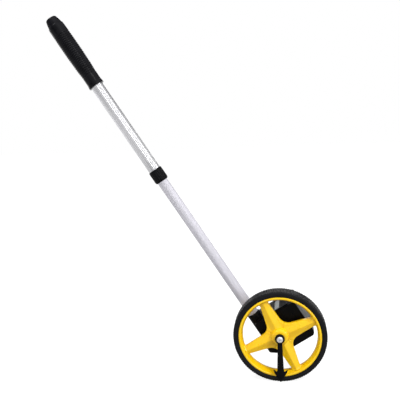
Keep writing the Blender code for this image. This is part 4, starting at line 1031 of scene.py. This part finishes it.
def grip_radius(height):
    """Outside radius of the grip below its shoulder, with the rings cut in."""
    radius = smooth_curve(GRIP_SWELL, height / MM) * MM
    if GRIP_RINGS[0] < height < GRIP_RINGS[1]:
        phase = ((height - GRIP_RINGS[0]) / GRIP_RING_PITCH) % 1.0
        radius -= GRIP_RING_DEPTH * max(0.0, math.sin(phase * 2.0 * math.pi)) ** 0.7
    return radius


def build_grip():
    """Soft sleeve: tapered head with a shoulder, ringed middle, plain neck and flared foot."""
    bottom, top = span("grip", 2, TUBE_FRAME)
    bore = radii("upper_tube", TUBE_FRAME)[1] + 0.3 * MM
    first = 0.8 * MM
    profile = [(bore, bottom)] + offset(0.0, bottom, [(13.5, 0.0), (14.0, 0.25)])
    for i in range(GRIP_STEPS + 1):
        height = first + (GRIP_SHOULDER - first) * i / GRIP_STEPS
        profile.append((grip_radius(height), bottom + height))
    profile += offset(0.0, bottom, GRIP_HEAD)
    profile += offset(0.0, top, [(8.3, 0.0), (6.0, 0.0), (5.5, -0.5), (0.0, -0.5), (0.0, -9.8)])
    profile += [(bore, top - 9.8 * MM)]
    builder = revolve(profile, 72)
    # Its points are given in world axes, so that its box is no larger than its shape.
    builder.transform(TUBE_FRAME)
    build_piece("grip_ringed", builder, "upper_handle", "grip_black", Matrix.Identity(4), "grip", 50.0)


# -------- CAD pieces


def dress_cad_nodes():
    """Every CAD piece takes its material and smooth faces. The pieces built above stand in for 16 of them."""
    slots = {row["node"]: row["material_slot"] for row in frame["record"]["subparts"]}
    for name, node in frame["nodes"].items():
        node.data.materials.clear()
        node.data.materials.append(MATERIALS[slots[name]])
        smooth(node.data, 35.0)


# -------- stage

FLOOR_GLOW = 0.86
STRIP_ANGLE = 52.0  # the strip lamp's place around the handle, from the front
# Brightness of the studio in mirrors: (degrees around the handle from the front, brightness).
STUDIO_RING = ((-180, 0.10), (-95, 0.35), (-45, 0.20), (5, 0.64), (52, 1.45), (100, 0.75), (145, 0.10),
               (180, 0.10))
RING_SCALE = 1.5  # a colour ramp holds values up to 1, so the ring is stored divided by this
CAMERA_FROM_HUB = Vector((0.0173, -0.9719, 0.3863))
CAMERA_YAW = math.radians(-8.51)
CAMERA_PITCH = math.radians(8.66)
CAMERA_ROLL = math.radians(-2.43)
CAMERA_LENS = 53.24


def build_floor():
    """Plain pale floor, level with the tyre's tread. It glows for the camera and is dull in mirrors."""
    builder = bmesh.new()
    bmesh.ops.create_grid(builder, x_segments=1, y_segments=1, size=6.0)
    floor = add_object("floor", finish_mesh(builder, "floor"))
    floor.location = (0.0, 0.0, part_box("tyre")[0].z - 0.2 * MM)
    nodes = material_nodes("floor_paper")
    colour = nodes.mix(nodes.patches(3.0, 2.0, 0.0, 1.0), (0.27, 0.27, 0.27), (0.30, 0.30, 0.30))
    nodes.set(Base_Color=colour, Roughness=0.95, Specular_IOR_Level=0.0)
    split = nodes.new("SeparateXYZ", Vector=nodes.place)
    from_left = nodes.remap(split.outputs["X"], 0.42, 0.0, -1.0, -0.15)
    behind = nodes.remap(split.outputs["Y"], 0.0, 0.9, 0.35, 0.75)
    glow = nodes.for_camera(FLOOR_GLOW, nodes.calculate("ADD", from_left, behind))
    nodes.set(Emission_Color=(1.0, 1.0, 1.0), Emission_Strength=glow)
    floor.data.materials.append(nodes.owner)


def add_lamp(name, size, power, mirrored=True):
    """A rectangular lamp, hidden from the camera. One that is not mirrored lights surfaces only."""
    light = bpy.data.lights.new(name, "AREA")
    light.shape = "RECTANGLE"
    light.size, light.size_y = size
    light.energy = power
    lamp = add_object(name, light)
    lamp.visible_camera = False
    lamp.visible_glossy = mirrored
    return lamp


def aim(lamp, place, target):
    lamp.location = place
    lamp.rotation_euler = (target - place).to_track_quat("-Z", "Y").to_euler()


def add_strip_light():
    """A narrow lamp parallel to the handle, which draws the bright line along the tubes and grip."""
    aside = math.radians(STRIP_ANGLE)
    outward = -ALONG_AXLE * math.cos(aside) + ACROSS_HANDLE * math.sin(aside) - 0.05 * UP_HANDLE
    outward.normalize()
    sideways = UP_HANDLE.cross(outward).normalized()
    place = HUB + 0.35 * UP_HANDLE + 1.5 * outward
    lamp = add_lamp("strip_light", (0.07, 1.5), 4.0)
    lamp.matrix_world = axes_matrix(sideways, outward.cross(sideways), outward, place)


def build_world():
    """Studio seen as plain white by the camera, and as a ring of soft light around the handle by mirrors."""
    world = bpy.data.worlds.new("studio")
    bpy.context.scene.world = world
    nodes = Nodes(world, "Background", "Generated")
    across = nodes.dot(nodes.place, tuple(ACROSS_HANDLE))
    ahead = nodes.dot(nodes.place, tuple(-ALONG_AXLE))
    around = nodes.remap(nodes.calculate("ARCTAN2", across, ahead), 0.0, 1.0, -math.pi, math.pi)
    ramp = nodes.new("ValToRGB", Fac=around)
    ramp.color_ramp.interpolation = "EASE"
    elements = ramp.color_ramp.elements
    elements.remove(elements[-1])
    for number, (degrees, brightness) in enumerate(STUDIO_RING):
        place = degrees / 360.0 + 0.5
        element = elements[0] if number == 0 else elements.new(place)
        element.position = place
        grey = brightness / RING_SCALE
        element.color = (grey, grey, grey, 1.0)
    ring = nodes.calculate("MULTIPLY", ramp.outputs["Color"], RING_SCALE)
    nodes.set(Color=(1.0, 1.0, 1.0), Strength=nodes.for_camera(1.0, ring))


def build_camera():
    """Eye height above the wheel, a metre in front, turned slightly left and down."""
    level = math.cos(CAMERA_PITCH)
    forward = Vector((math.sin(CAMERA_YAW) * level, math.cos(CAMERA_YAW) * level, -math.sin(CAMERA_PITCH)))
    right = forward.cross(Vector((0, 0, 1))).normalized()
    up = right.cross(forward)
    right_rolled = right * math.cos(CAMERA_ROLL) + up * math.sin(CAMERA_ROLL)
    up_rolled = up * math.cos(CAMERA_ROLL) - right * math.sin(CAMERA_ROLL)
    data = bpy.data.cameras.new("camera")
    data.sensor_width = 36.0
    data.lens = CAMERA_LENS
    data.clip_start = 0.01
    camera = add_object("camera", data)
    camera.matrix_world = axes_matrix(right_rolled, up_rolled, -forward, HUB + CAMERA_FROM_HUB)
    bpy.context.scene.camera = camera


def build_stage():
    """Floor, studio, lamps and camera."""
    build_floor()
    build_world()
    middle = HUB + Vector((-0.1, 0.0, 0.2))
    aim(add_lamp("key_light", (0.7, 0.7), 16.0, False), HUB + Vector((0.9, -1.0, 1.3)), middle)
    aim(add_lamp("top_light", (1.2, 0.8), 14.0, False), HUB + Vector((0.1, 0.5, 1.6)), middle)
    aim(add_lamp("back_light", (1.2, 0.35), 3.0), HUB + Vector((0.0, 1.7, 0.75)), HUB)
    aim(add_lamp("fill_light", (0.6, 1.2), 7.0, False), HUB + Vector((-1.5, -0.6, 0.5)), middle)
    aim(add_lamp("head_light", (0.7, 0.5), 4.0), HUB + 1.8 * UP_HANDLE + Vector((0.0, -0.3, 0.0)), HUB)
    add_strip_light()
    build_camera()
    bpy.context.scene.view_settings.view_transform = "Standard"
    bpy.context.scene.view_settings.look = "None"


# -------- assembly

dress_cad_nodes()
build_tyre()
build_spoked_wheel()
build_pointer()
build_pointer_screw()
build_front_case()
build_rear_cover()
build_cover_screws()
build_window_bezel()
build_reset_knob()
build_digits()
build_tubes()
build_collar()
build_grip()
build_stage()
